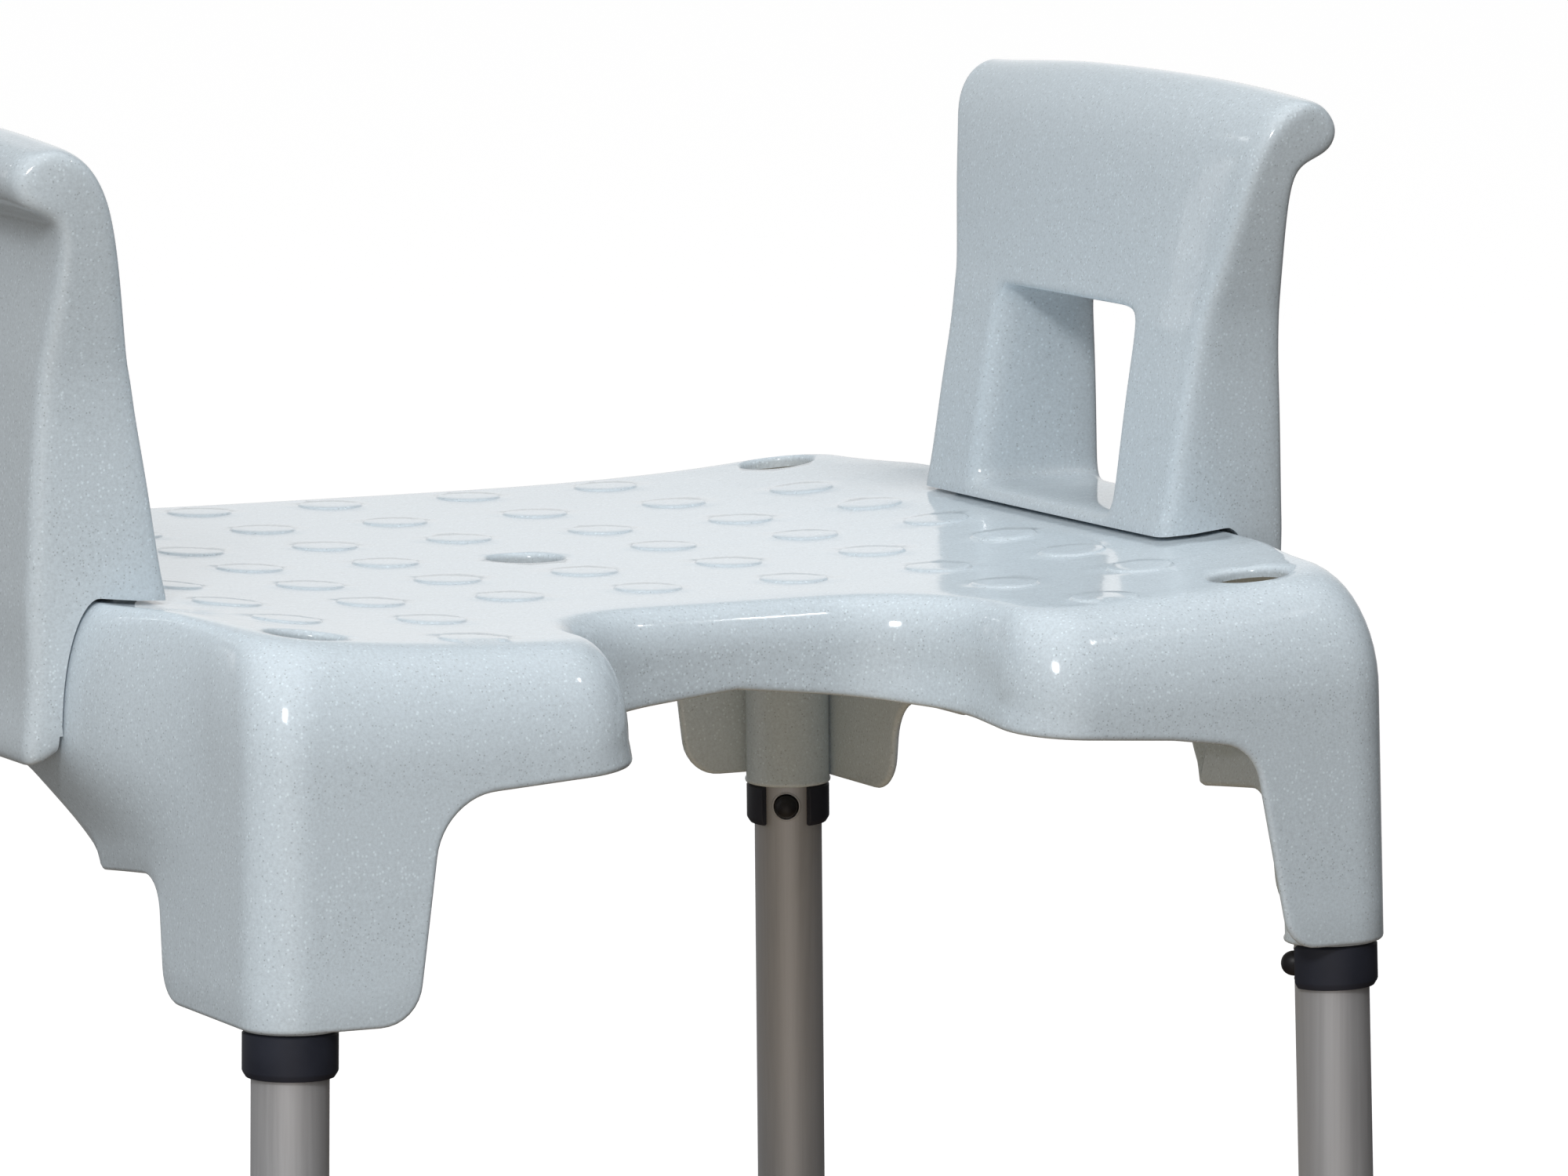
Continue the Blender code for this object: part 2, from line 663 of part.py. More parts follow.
av, af = [], []
n = len(ARM_PROFILE)
for side, push, inset in stations:
    pts = inset_profile(ARM_PROFILE, inset * 0.98)
    for (x, z), (_, z0) in zip(pts, ARM_PROFILE):
        y = ARM_Y + side * (half_width(z0) - ARM_END_R + ARM_END_R * push)
        av.append((x * MM, y * MM, (SEAT_Z + z) * MM))
for j in range(len(stations) - 1):
    for k in range(n):
        k2 = (k + 1) % n
        af.append((j * n + k, j * n + k2, (j + 1) * n + k2, (j + 1) * n + k))
af.append(tuple(reversed(range(n))))
last = (len(stations) - 1) * n
af.append(tuple(last + k for k in range(n)))
arm = mesh_object("armrest_right", av, af, ARM, model)
fix = bmesh.new()
fix.from_mesh(arm.data)
bmesh.ops.recalc_face_normals(fix, faces=fix.faces)
fix.to_mesh(arm.data)
fix.free()

# the seat's outer shape, filled and a little larger, shapes the armrest's base
PAD = 0.45
ev = [((x / MM + PAD) * MM, y, z + PAD * MM) for x, y, z in verts]
ef = list(faces)
hub_point = len(ev)
ev.append((5.0 * MM, 42.0 * MM, (SEAT_Z - 105.0) * MM))
loop = list(rows[0]) + [r[-1] for r in rows[1:]] + list(reversed(rows[-1][:-1])) + [0]
for a, b in zip(loop, loop[1:] + loop[:1]):
    ef.append((a, hub_point, b))
envelope = mesh_object("seat_envelope", ev, ef, None, cutters)
fix = bmesh.new()
fix.from_mesh(envelope.data)
bmesh.ops.recalc_face_normals(fix, faces=fix.faces)
fix.to_mesh(envelope.data)
fix.free()
boolean(arm, envelope)

# the skirt below the seat's widest line is relieved, so that the armrest lifts straight up
relief = box_cutter("skirt_relief", (200.0, -150.0, SEAT_Z - 70.0), (249.55, 150.0, SEAT_Z - 45.0))
boolean(arm, relief)

# hand opening
OPEN_HALF, OPEN_LOW, OPEN_HIGH, OPEN_R = 54.0, 7.0, 86.0, 9.0
OPEN_Y = -4.0
corner = [(-OPEN_HALF - 1.0, OPEN_LOW), (OPEN_HALF + 1.0, OPEN_LOW), (OPEN_HALF - 1.0, OPEN_HIGH),
          (-OPEN_HALF + 1.0, OPEN_HIGH)]
ring = []
for i in range(4):
    p, v, q = corner[i - 1], corner[i], corner[(i + 1) % 4]
    ring += fillet([p, v, q], [0, OPEN_R, 0], [0, 3, 0])[1:-1]
ov = [(x * MM, (OPEN_Y + y) * MM, (SEAT_Z + z) * MM) for x in (185.0, 300.0) for y, z in ring]
m = len(ring)
of = [tuple(reversed(range(m))), tuple(range(m, 2 * m))]
of += [(k, (k + 1) % m, m + (k + 1) % m, m + k) for k in range(m)]
opening = mesh_object("hand_opening", ov, of, None, cutters)
fix = bmesh.new()
fix.from_mesh(opening.data)
bmesh.ops.recalc_face_normals(fix, faces=fix.faces)
fix.to_mesh(opening.data)
fix.free()
boolean(arm, opening)

for i, y in enumerate(TONGUE_Y):
    y0 = ARM_Y + y
    tongue = box_cutter("tongue_%d" % i, (TONGUE[0], y0 - TONGUE_HALF, SEAT_Z + TONGUE_END),
                        (TONGUE[1], y0 + TONGUE_HALF, SEAT_Z + 4.5))
    boolean(arm, tongue, "UNION")
    for s, side in ((1, "right"), (-1, "left")):
        xs = sorted((s * (TONGUE[0] - 0.5), s * (TONGUE[1] + 0.5)))
        slot = box_cutter("arm_slot_%s_%d" % (side, i), (xs[0], y0 - TONGUE_HALF - 0.5, SEAT_Z - 30.0),
                          (xs[1], y0 + TONGUE_HALF + 0.5, SEAT_Z + 30.0))
        seat_cuts.append(slot)
boolean(seat, seat_cuts)

# the left armrest is the right one mirrored
bpy.context.view_layer.update()
depsgraph = bpy.context.evaluated_depsgraph_get()
left_mesh = bpy.data.meshes.new_from_object(arm.evaluated_get(depsgraph))
left_mesh.name = "armrest_left"
fix = bmesh.new()
fix.from_mesh(left_mesh)
for v in fix.verts:
    v.co.x = -v.co.x
bmesh.ops.reverse_faces(fix, faces=fix.faces)
fix.to_mesh(left_mesh)
fix.free()
arm_left = bpy.data.objects.new("armrest_left", left_mesh)
model.objects.link(arm_left)

bpy.context.view_layer.update()
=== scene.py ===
# Looks of the height-adjustable shower chair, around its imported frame.
# Shape functions work in mm, with heights measured from the seat surface at the
# corner drain holes; the meshes are made in metres.
import math

import bmesh
import bpy
import numpy as np
from mathutils import Matrix, Vector
from mathutils.geometry import delaunay_2d_cdt


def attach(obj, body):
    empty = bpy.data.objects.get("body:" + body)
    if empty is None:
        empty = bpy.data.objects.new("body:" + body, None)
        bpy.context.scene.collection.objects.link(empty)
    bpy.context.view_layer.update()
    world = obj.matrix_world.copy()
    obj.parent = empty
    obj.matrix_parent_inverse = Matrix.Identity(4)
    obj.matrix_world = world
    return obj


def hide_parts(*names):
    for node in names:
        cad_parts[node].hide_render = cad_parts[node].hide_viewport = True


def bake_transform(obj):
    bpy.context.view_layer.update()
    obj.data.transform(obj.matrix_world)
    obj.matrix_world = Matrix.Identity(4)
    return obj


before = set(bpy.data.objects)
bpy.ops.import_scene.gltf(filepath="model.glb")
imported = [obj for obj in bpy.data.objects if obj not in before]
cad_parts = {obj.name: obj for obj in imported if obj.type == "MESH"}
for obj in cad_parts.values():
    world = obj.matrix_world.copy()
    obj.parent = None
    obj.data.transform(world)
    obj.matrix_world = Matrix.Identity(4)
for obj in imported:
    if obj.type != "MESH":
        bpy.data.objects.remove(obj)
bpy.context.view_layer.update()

MM = 0.001
SEAT_Z = 425.0
DISH, DISH_X, DISH_POWER = 6.3, 195.0, 3.5
WALL = 4.0
LEG_X, LEG_Y = 212.4, 225.1
HUB_END = -136.8
SPLAY = 0.0197
CORNER_R = 19.6
CREST_X, CREST_Y, CREST_R = 216.0, 216.0, 30.0
BULGE_CREST, BULGE_WALL = 18.0, 18.9
RECESS_HALF, RECESS_Y, RECESS_R, MOUTH_R = 79.0, -155.0, 42.0, 28.0
RECESS_CLOSE = 4.0        # how far the mouth of the recess closes in towards its lower edge
RECESS_HALF_C, RECESS_Y_C, RECESS_R_C, MOUTH_R_C = 91.0, -143.0, 52.0, 16.0
DRAIN_R = 14.6
DRAIN_XY = [(-10.5, 7.5), (195.0, 201.0), (-195.0, 201.0), (-195.0, -201.0), (189.5, -201.0)]
TUBE_R, TUBE_WALL = 14.0, 1.5
BORE_R = 14.35
HUB_R = 17.3
LEG_TOP, LEG_TRAVEL, PITCH = 88.4, 90.0, 15.0
BUTTON_Z, BUTTON_R, BUTTON_PROUD = -8.5, 4.75, 5.0
HOLE_R = 5.3
COLLAR_R, COLLAR_H = 17.2, 16.8
ARM_Y = -6.0

CORNERS = [
    ("front_left", -1, -1, 60.0),
    ("front_right", 1, -1, 150.0),
    ("rear_right", 1, 1, 240.0),
    ("rear_left", -1, 1, 330.0),
]

scene = bpy.context.scene


# ------------------------------------------------------------------ helpers
def lerp(a, b, f):
    return a + (b - a) * f


def smoothstep(a, b, x):
    f = min(1.0, max(0.0, (x - a) / (b - a)))
    return f * f * (3.0 - 2.0 * f)


def fillet(points, radii, counts):
    out = [points[0]]
    for i in range(1, len(points) - 1):
        p, v, n = Vector(points[i - 1]), Vector(points[i]), Vector(points[i + 1])
        d1, d2 = (p - v).normalized(), (n - v).normalized()
        cosine = max(-1.0, min(1.0, d1.dot(d2)))
        half = math.acos(cosine) / 2.0
        if radii[i] <= 0.0 or half > math.radians(89.0):
            out.append(tuple(v))
            continue
        reach = radii[i] / math.tan(half)
        start = v + d1 * reach
        centre = v + (d1 + d2).normalized() * (radii[i] / math.sin(half))
        a0, a1 = start - centre, v + d2 * reach - centre
        total = a0.angle_signed(a1)
        for k in range(counts[i] + 1):
            turn = -total * k / counts[i]
            c, s = math.cos(turn), math.sin(turn)
            out.append((centre.x + a0.x * c - a0.y * s, centre.y + a0.x * s + a0.y * c))
    out.append(points[-1])
    return out


def new_mesh(name, verts, faces, smooth_angle=38.0, scale=MM, lift=0.0):
    """Mesh object from points in mm; lift is added to each height."""
    mesh = bpy.data.meshes.new(name)
    mesh.from_pydata([(x * scale, y * scale, (z + lift) * scale) for x, y, z in verts], [], faces)
    mesh.update()
    obj = bpy.data.objects.new(name, mesh)
    scene.collection.objects.link(obj)
    fix = bmesh.new()
    fix.from_mesh(mesh)
    bmesh.ops.recalc_face_normals(fix, faces=fix.faces)
    fix.to_mesh(mesh)
    fix.free()
    shade(obj, smooth_angle)
    return obj


def shade(obj, angle=38.0):
    obj.data.shade_smooth()
    obj.data.set_sharp_from_angle(angle=math.radians(angle))


def applied(obj, angle=38.0):
    """Bake an object's modifiers and matrix into its mesh."""
    bpy.context.view_layer.update()
    graph = bpy.context.evaluated_depsgraph_get()
    mesh = bpy.data.meshes.new_from_object(obj.evaluated_get(graph))
    mesh.transform(obj.matrix_world)
    obj.modifiers.clear()
    obj.data = mesh
    obj.matrix_world = Matrix.Identity(4)
    shade(obj, angle)
    return obj


def cut(obj, cutter_list, operation="DIFFERENCE"):
    """One exact Boolean with a group of cutters, applied at once."""
    group = bpy.data.collections.new("cutting_group")
    scene.collection.children.link(group)
    for c in cutter_list:
        for home in list(c.users_collection):
            home.objects.unlink(c)
        group.objects.link(c)
    mod = obj.modifiers.new("cut", "BOOLEAN")
    mod.operation = operation
    mod.solver = "EXACT"
    mod.operand_type = "COLLECTION"
    mod.collection = group
    applied(obj)
    for c in cutter_list:
        bpy.data.objects.remove(c, do_unlink=True)
    bpy.data.collections.remove(group)
    return obj


def turned(name, profile, steps=64, matrix=None, closed=True, angle=38.0):
    """Turned piece about local Z from a profile of (radius, height) in mm."""
    verts, faces = [], []
    rings = []
    for r, z in profile:
        if r < 1e-6:
            rings.append([len(verts)])
            verts.append((0.0, 0.0, z))
        else:
            rings.append(list(range(len(verts), len(verts) + steps)))
            for k in range(steps):
                a = math.tau * k / steps
                verts.append((r * math.cos(a), r * math.sin(a), z))
    pairs = list(zip(rings, rings[1:]))
    if closed:
        pairs.append((rings[-1], rings[0]))
    for a, b in pairs:
        if len(a) == 1 and len(b) == 1:
            continue
        for k in range(steps):
            k2 = (k + 1) % steps
            if len(a) == 1:
                faces.append((a[0], b[k], b[k2]))
            elif len(b) == 1:
                faces.append((a[k], b[0], a[k2]))
            else:
                faces.append((a[k], b[k], b[k2], a[k2]))
    obj = new_mesh(name, verts, faces, angle)
    if matrix is not None:
        obj.data.transform(matrix)
    return obj


def prism(name, outline, lo, hi, axis):
    """Outline of (u, v) in mm, drawn out along axis 0 (X) or 2 (Z)."""
    m = len(outline)
    verts = []
    for w in (lo, hi):
        for u, v in outline:
            verts.append((w, u, v) if axis == 0 else ((u, w, v) if axis == 1 else (u, v, w)))
    faces = [tuple(reversed(range(m))), tuple(range(m, 2 * m))]
    faces += [(k, (k + 1) % m, m + (k + 1) % m, m + k) for k in range(m)]
    return new_mesh(name, verts, faces, lift=SEAT_Z)


def rounded_rect(x0, x1, y0, y1, r, n=5):
    pts = []
    for cx, cy, a0 in ((x1 - r, y1 - r, 0), (x0 + r, y1 - r, 90), (x0 + r, y0 + r, 180), (x1 - r, y0 + r, 270)):
        for k in range(n + 1):
            a = math.radians(a0 + 90.0 * k / n)
            pts.append((cx + r * math.cos(a), cy + r * math.sin(a)))
    return pts


# ---------------------------------------------------------- node materials
class Nodes:
    """Small helper that wires a Principled material."""

    def __init__(self, name):
        self.mat = bpy.data.materials.new(name)
        self.mat.use_nodes = True
        self.tree = self.mat.node_tree
        self.bsdf = self.tree.nodes["Principled BSDF"]
        self.coord = self.tree.nodes.new("ShaderNodeTexCoord")

    def add(self, kind, **values):
        node = self.tree.nodes.new(kind)
        for key, value in values.items():
            if hasattr(node, key):
                setattr(node, key, value)
            else:
                node.inputs[key.replace("_", " ")].default_value = value
        return node

    def link(self, a, b):
        self.tree.links.new(a, b)

    def mapped(self, scale):
        node = self.add("ShaderNodeMapping")
        node.inputs["Scale"].default_value = scale
        self.link(self.coord.outputs["Object"], node.inputs["Vector"])
        return node.outputs["Vector"]

    def noise(self, scale, detail=2.0, rough=0.5, vector=None, distortion=0.0):
        node = self.add("ShaderNodeTexNoise", Scale=scale, Detail=detail, Roughness=rough, Distortion=distortion)
        self.link(vector or self.coord.outputs["Object"], node.inputs["Vector"])
        return node.outputs["Fac"]

    def cells(self, scale, randomness=1.0, vector=None):
        node = self.add("ShaderNodeTexVoronoi", Scale=scale, Randomness=randomness)
        self.link(vector or self.coord.outputs["Object"], node.inputs["Vector"])
        return node

    def ramp(self, fac, stops):
        node = self.tree.nodes.new("ShaderNodeValToRGB")
        elements = node.color_ramp.elements
        while len(elements) < len(stops):
            elements.new(0.5)
        for e, (pos, col) in zip(elements, stops):
            e.position = pos
            e.color = (*col, 1.0) if len(col) == 3 else col
        self.link(fac, node.inputs["Fac"])
        return node.outputs["Color"]

    def span(self, value, lo, hi, to_lo, to_hi, clamp=True):
        node = self.add("ShaderNodeMapRange")
        node.clamp = clamp
        for key, v in (("From Min", lo), ("From Max", hi), ("To Min", to_lo), ("To Max", to_hi)):
            node.inputs[key].default_value = v
        self.link(value, node.inputs["Value"])
        return node.outputs["Result"]

    def math(self, op, a, b=None):
        node = self.tree.nodes.new("ShaderNodeMath")
        node.operation = op
        for socket, v in zip(node.inputs, (a, b)):
            if v is None:
                continue
            if isinstance(v, (int, float)):
                socket.default_value = v
            else:
                self.link(v, socket)
        return node.outputs["Value"]

    def mix(self, fac, a, b, mode="MIX"):
        node = self.tree.nodes.new("ShaderNodeMix")
        node.data_type = "RGBA"
        node.blend_type = mode
        sockets = {"f": node.inputs[0], "a": node.inputs[6], "b": node.inputs[7]}
        for key, v in (("f", fac), ("a", a), ("b", b)):
            if isinstance(v, (int, float)):
                sockets[key].default_value = v
            elif isinstance(v, tuple):
                sockets[key].default_value = (*v, 1.0)
            else:
                self.link(v, sockets[key])
        return node.outputs[2]

    def bump(self, height, strength, distance, normal=None):
        node = self.tree.nodes.new("ShaderNodeBump")
        node.inputs["Strength"].default_value = strength
        node.inputs["Distance"].default_value = distance
        self.link(height, node.inputs["Height"])
        if normal is not None:
            self.link(normal, node.inputs["Normal"])
        return node.outputs["Normal"]

    def into(self, name, value):
        socket = self.bsdf.inputs[name]
        if isinstance(value, (int, float)):
            socket.default_value = value
        elif isinstance(value, tuple):
            socket.default_value = (*value, 1.0)
        else:
            self.link(value, socket)


def speckled_plastic(name, base):
    """Glossy moulded plastic with a fine granite speckle in the body colour."""
    n = Nodes(name)
    dark = tuple(c * 0.50 for c in base)
    light = tuple(min(1.0, c * 1.36) for c in base)
    cloud = n.noise(900.0, 3.0, 0.62)
    body = n.ramp(cloud, [(0.30, tuple(c * 0.90 for c in base)), (0.50, base), (0.70, tuple(min(1.0, c * 1.09) for c in base))])
    grain = n.cells(820.0)
    pick = n.span(grain.outputs["Color"], 0.70, 0.74, 0.0, 1.0)
    spot = n.span(grain.outputs["Distance"], 0.16, 0.34, 1.0, 0.0)
    body = n.mix(n.math("MULTIPLY", n.math("MULTIPLY", pick, spot), 0.62), body, dark)
    grain2 = n.cells(640.0)
    n.link(n.mapped((1.0, 1.13, 0.91)), grain2.inputs["Vector"])
    pick2 = n.span(grain2.outputs["Color"], 0.66, 0.70, 0.0, 1.0)
    spot2 = n.span(grain2.outputs["Distance"], 0.18, 0.38, 1.0, 0.0)
    body = n.mix(n.math("MULTIPLY", n.math("MULTIPLY", pick2, spot2), 0.65), body, light)
    wide = n.noise(9.0, 2.0, 0.5)
    body = n.mix(n.span(wide, 0.35, 0.65, 0.0, 0.10), body, tuple(c * 0.93 for c in base))
    n.into("Base Color", body)
    n.into("Roughness", n.span(n.noise(60.0, 3.0, 0.6), 0.3, 0.7, 0.09, 0.13))
    n.into("IOR", 1.5)
    peel = n.noise(190.0, 2.0, 0.5)
    wave = n.noise(48.0, 1.0, 0.5)
    n.into("Normal", n.bump(peel, 0.10, 0.0006, n.bump(wave, 0.10, 0.0016)))
    return n.mat


def satin_plastic(name, base, rough, sheen=0.0):
    n = Nodes(name)
    tone = n.noise(60.0, 3.0, 0.6)
    n.into("Base Color", n.mix(n.span(tone, 0.3, 0.7, 0.0, 1.0), tuple(c * 0.86 for c in base), tuple(c * 1.12 for c in base)))
    grain = n.noise(2600.0, 2.0, 0.6)
    n.into("Roughness", n.span(tone, 0.3, 0.7, rough - 0.05, rough + 0.06))
    n.into("Normal", n.bump(grain, 0.12, 0.00012))
    n.into("Specular IOR Level", 0.35)
    return n.mat


def drawn_aluminium(name, base, rough, metallic=0.85):
    """Anodised drawn tube: long faint die lines along the leg."""
    n = Nodes(name)
    lines = n.noise(1.0, 3.0, 0.65, n.mapped((900.0, 900.0, 6.0)))
    cloud = n.noise(14.0, 3.0, 0.55)
    tone = n.mix(n.span(lines, 0.3, 0.7, 0.0, 1.0), tuple(c * 0.93 for c in base), tuple(min(1.0, c * 1.05) for c in base))
    tone = n.mix(n.span(cloud, 0.35, 0.65, 0.0, 0.35), tone, tuple(b * k for b, k in zip(base, (0.97, 0.93, 0.90))))
    n.into("Base Color", tone)
    n.into("Metallic", metallic)
    n.into("Roughness", n.span(lines, 0.3, 0.7, rough - 0.04, rough + 0.06))
    n.into("Normal", n.bump(lines, 0.05, 0.00008))
    return n.mat


def bright_metal(name, base, rough):
    n = Nodes(name)
    cloud = n.noise(240.0, 4.0, 0.6)
    n.into("Base Color", n.mix(n.span(cloud, 0.3, 0.7, 0.0, 1.0), tuple(c * 0.85 for c in base), base))
    n.into("Metallic", 1.0)
    n.into("Roughness", n.span(cloud, 0.3, 0.7, rough - 0.06, rough + 0.1))
    n.into("Normal", n.bump(n.noise(1800.0, 2.0, 0.5), 0.08, 0.00005))
    return n.mat


def moulded_rubber(name, base):
    n = Nodes(name)
    dust = n.noise(55.0, 5.0, 0.65)
    tone = n.mix(n.span(dust, 0.42, 0.75, 0.0, 0.5), base, tuple(c * 1.9 for c in base))
    n.into("Base Color", tone)
    n.into("Roughness", n.span(dust, 0.3, 0.7, 0.62, 0.82))
    n.into("Normal", n.bump(n.noise(1500.0, 3.0, 0.6), 0.25, 0.00015))
    n.into("Specular IOR Level", 0.4)
    return n.mat


SHELL = speckled_plastic("speckled_seat_plastic", (0.600, 0.683, 0.742))
ARM = speckled_plastic("speckled_armrest_plastic", (0.588, 0.662, 0.712))
COLLAR = satin_plastic("navy_collar_plastic", (0.021, 0.024, 0.036), 0.50)
BUTTON = satin_plastic("black_button_plastic", (0.012, 0.012, 0.015), 0.42)
LEG = drawn_aluminium("anodised_leg_tube", (0.510, 0.518, 0.535), 0.50, 0.55)
GUIDE = drawn_aluminium("mill_guide_tube", (0.50, 0.50, 0.50), 0.36)
SPRING = bright_metal("spring_steel_strip", (0.55, 0.55, 0.56), 0.28)
WASHER = bright_metal("zinc_washer_steel", (0.58, 0.58, 0.56), 0.38)
RUBBER = moulded_rubber("ferrule_rubber", (0.042, 0.042, 0.045))


def finish_piece(obj, mat, body, slot, *nodes):
    obj.data.materials.clear()
    obj.data.materials.append(mat)
    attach(obj, body)
    if nodes:
        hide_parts(*nodes)
    return obj


# ------------------------------------------------------ surface of the shell
def outline_parts(rec_y, rec_half, rec_r, mouth_r, cx, cy, r):
    side, front, rear = cx + r, -(cy + r), cy + r
    return [
        ("line", (0.0, rec_y), (rec_half - rec_r, rec_y)),
        ("arc", (rec_half - rec_r, rec_y - rec_r), rec_r, 90.0, 0.0),
        ("line", (rec_half, rec_y - rec_r), (rec_half, front + mouth_r)),
        ("arc", (rec_half + mouth_r, front + mouth_r), mouth_r, 180.0, 270.0),
        ("line", (rec_half + mouth_r, front), (cx, front)),
        ("arc", (cx, -cy), r, 270.0, 360.0),
        ("line", (side, -cy), (side, cy)),
        ("arc", (cx, cy), r, 0.0, 90.0),
        ("line", (cx, rear), (0.0, rear)),
    ]


def on_outline(parts, t):
    i = min(8, int(t))
    f = t - i
    part = parts[i]
    if part[0] == "line":
        (x0, y0), (x1, y1) = part[1], part[2]
        return lerp(x0, x1, f), lerp(y0, y1, f)
    (cx, cy), r, a0, a1 = part[1], part[2], part[3], part[4]
    a = math.radians(lerp(a0, a1, f))
    return cx + r * math.cos(a), cy + r * math.sin(a)


def part_length(part):
    if part[0] == "line":
        return math.dist(part[1], part[2])
    return abs(math.radians(part[4] - part[3])) * part[2]


def wall_parts(z):
    drop = (HUB_END - z) * SPLAY
    half = RECESS_HALF - RECESS_CLOSE * smoothstep(28.0, 58.0, -z)
    return outline_parts(RECESS_Y, half, RECESS_R, MOUTH_R, LEG_X + drop, LEG_Y + drop, CORNER_R)


CREST_PARTS = outline_parts(
    RECESS_Y_C, RECESS_HALF_C, RECESS_R_C, MOUTH_R_C, CREST_X - CREST_R, CREST_Y - CREST_R, CREST_R)
REFERENCE = wall_parts(-90.0)
STATIONS = [0.0]
for piece in REFERENCE:
    STATIONS.append(STATIONS[-1] + part_length(piece))
L_END = STATIONS[-1]


def to_t(l):
    for i in range(9):
        if l <= STATIONS[i + 1] or i == 8:
            return min(9.0, i + max(0.0, l - STATIONS[i]) / (STATIONS[i + 1] - STATIONS[i]))
    return 9.0


def bulge(y, z):
    along = (1.0 - smoothstep(100.0, 196.0, abs(y))) * (1.0 - 0.05 * min(1.0, (y / 100.0) ** 2))
    return along * (1.0 - smoothstep(45.0, 95.0, -z))


def wall_point(l, z):
    x, y = on_outline(wall_parts(z), to_t(l))
    if x > 150.0:
        x += BULGE_WALL * bulge(y, z)
    return x, y


def dish(x, y):
    """The seat's surface, with a shallow step under the armrests."""
    seatbed = 1.0 - smoothstep(100.0, 150.0, abs(y - ARM_Y))
    step = 1.3 * smoothstep(186.0, 204.0, abs(x)) + 1.6 * smoothstep(205.0, 230.0, abs(x))
    return -DISH + DISH * (abs(x) / DISH_X) ** DISH_POWER - seatbed * step


def crest_point(l):
    x, y = on_outline(CREST_PARTS, to_t(l))
    if x > 150.0:
        x += BULGE_CREST * bulge(y, 0.0)
    return x, y, dish(x, y)


TURN_TABLE = [(0.0, 17.0), (1.0, 18.0), (2.0, 22.0), (3.0, 34.0), (4.0, 41.0), (5.0, 44.0),
              (6.0, 46.0), (6.5, 46.0), (7.0, 46.0), (8.0, 42.0), (9.0, 36.0)]


def turn_depth(l):
    t = to_t(l)
    for (a, va), (b, vb) in zip(TURN_TABLE, TURN_TABLE[1:]):
        if t <= b:
            return lerp(va, vb, smoothstep(a, b, t))
    return TURN_TABLE[-1][1]


def bezier(p0, p1, p2, p3, f):
    g = 1.0 - f
    return tuple(g ** 3 * a + 3 * g * g * f * b + 3 * g * f * f * c + f ** 3 * d
                 for a, b, c, d in zip(p0, p1, p2, p3))


def turn_points(l, count):
    """The rounded edge from the crest down to the wall, crest first."""
    cx, cy, cz = crest_point(l)
    zw = cz - turn_depth(l)
    wx, wy = wall_point(l, zw)
    k = 0.56
    dx, dy = wx - cx, wy - cy
    reach = math.hypot(dx, dy)
    slope = (dish(cx + dx / reach * 0.5, cy) - cz) / 0.5
    p1 = (cx + dx * k, cy + dy * k, cz + slope * reach * k * 0.8)
    p2 = (wx, wy, zw + turn_depth(l) * k)
    return [bezier((cx, cy, cz), p1, p2, (wx, wy, zw), j / count) for j in range(count + 1)]


def l_front(x):
    return STATIONS[4] + (x - REFERENCE[4][1][0])


def l_side(y):
    return STATIONS[6] + (y - REFERENCE[6][1][1])


def l_rear(x):
    return STATIONS[8] + (REFERENCE[8][1][0] - x)


def lower_edge(side):
    """Lower edge on the unrolled wall. The front right paw is narrower."""
    front = ([((l_front(136.0), -54.5), 60.0), ((l_front(169.8), -59.2), 18.0), ((l_front(183.8), -136.0), 13.0)]
             if side > 0 else
             [((l_front(160.2), -56.0), 25.0), ((l_front(170.4), -136.0), 16.0)])
    path = [((0.0, -38.0), 0.0), ((STATIONS[1] + 30.0, -45.5), 120.0), ((STATIONS[3], -49.5), 120.0)] + front + [
        ((l_side(-155.0), -136.0), 14.0),
        ((l_side(-149.0), -91.6), 13.0),
        ((l_side(ARM_Y - 89.5), -97.2), 4.0),
        ((l_side(ARM_Y - 88.4), -90.5), 9.0),
        ((l_side(ARM_Y - 52.0), -62.0), 22.0),
        ((l_side(ARM_Y + 85.0), -62.0), 13.0),
        ((l_side(ARM_Y + 99.0), -95.0), 13.0),
        ((l_side(157.5), -95.0), 20.0),
        ((l_side(163.5), -134.8), 17.0),
        ((l_rear(173.2), -134.8), 17.0),
        ((l_rear(163.2), -52.0), 25.0),
        ((L_END, -48.0), 0.0),
    ]
    return fillet([p[0] for p in path], [p[1] for p in path], [12] * len(path))


def resampled(line, step):
    pts = np.array(line)
    run = np.concatenate([[0.0], np.cumsum(np.hypot(*np.diff(pts, axis=0).T))])
    count = int(round(run[-1] / step)) + 1
    at = np.linspace(0.0, run[-1], count)
    return np.column_stack([np.interp(at, run, pts[:, 0]), np.interp(at, run, pts[:, 1])])


def softened(values, sigma):
    """Gaussian smoothing of a run of numbers whose two ends stay."""
    n = int(sigma * 3)
    kernel = np.exp(-0.5 * (np.arange(-n, n + 1) / sigma) ** 2)
    kernel /= kernel.sum()
    ahead = 2 * values[0] - values[n:0:-1]
    behind = 2 * values[-1] - values[-2:-n - 2:-1]
    out = np.convolve(np.concatenate([ahead, values, behind]), kernel, mode="valid")
    out[0], out[-1] = values[0], values[-1]
    return out


STEP = 3.0
TURN_N, WALL_N, LIP_N = 13, 7, 6


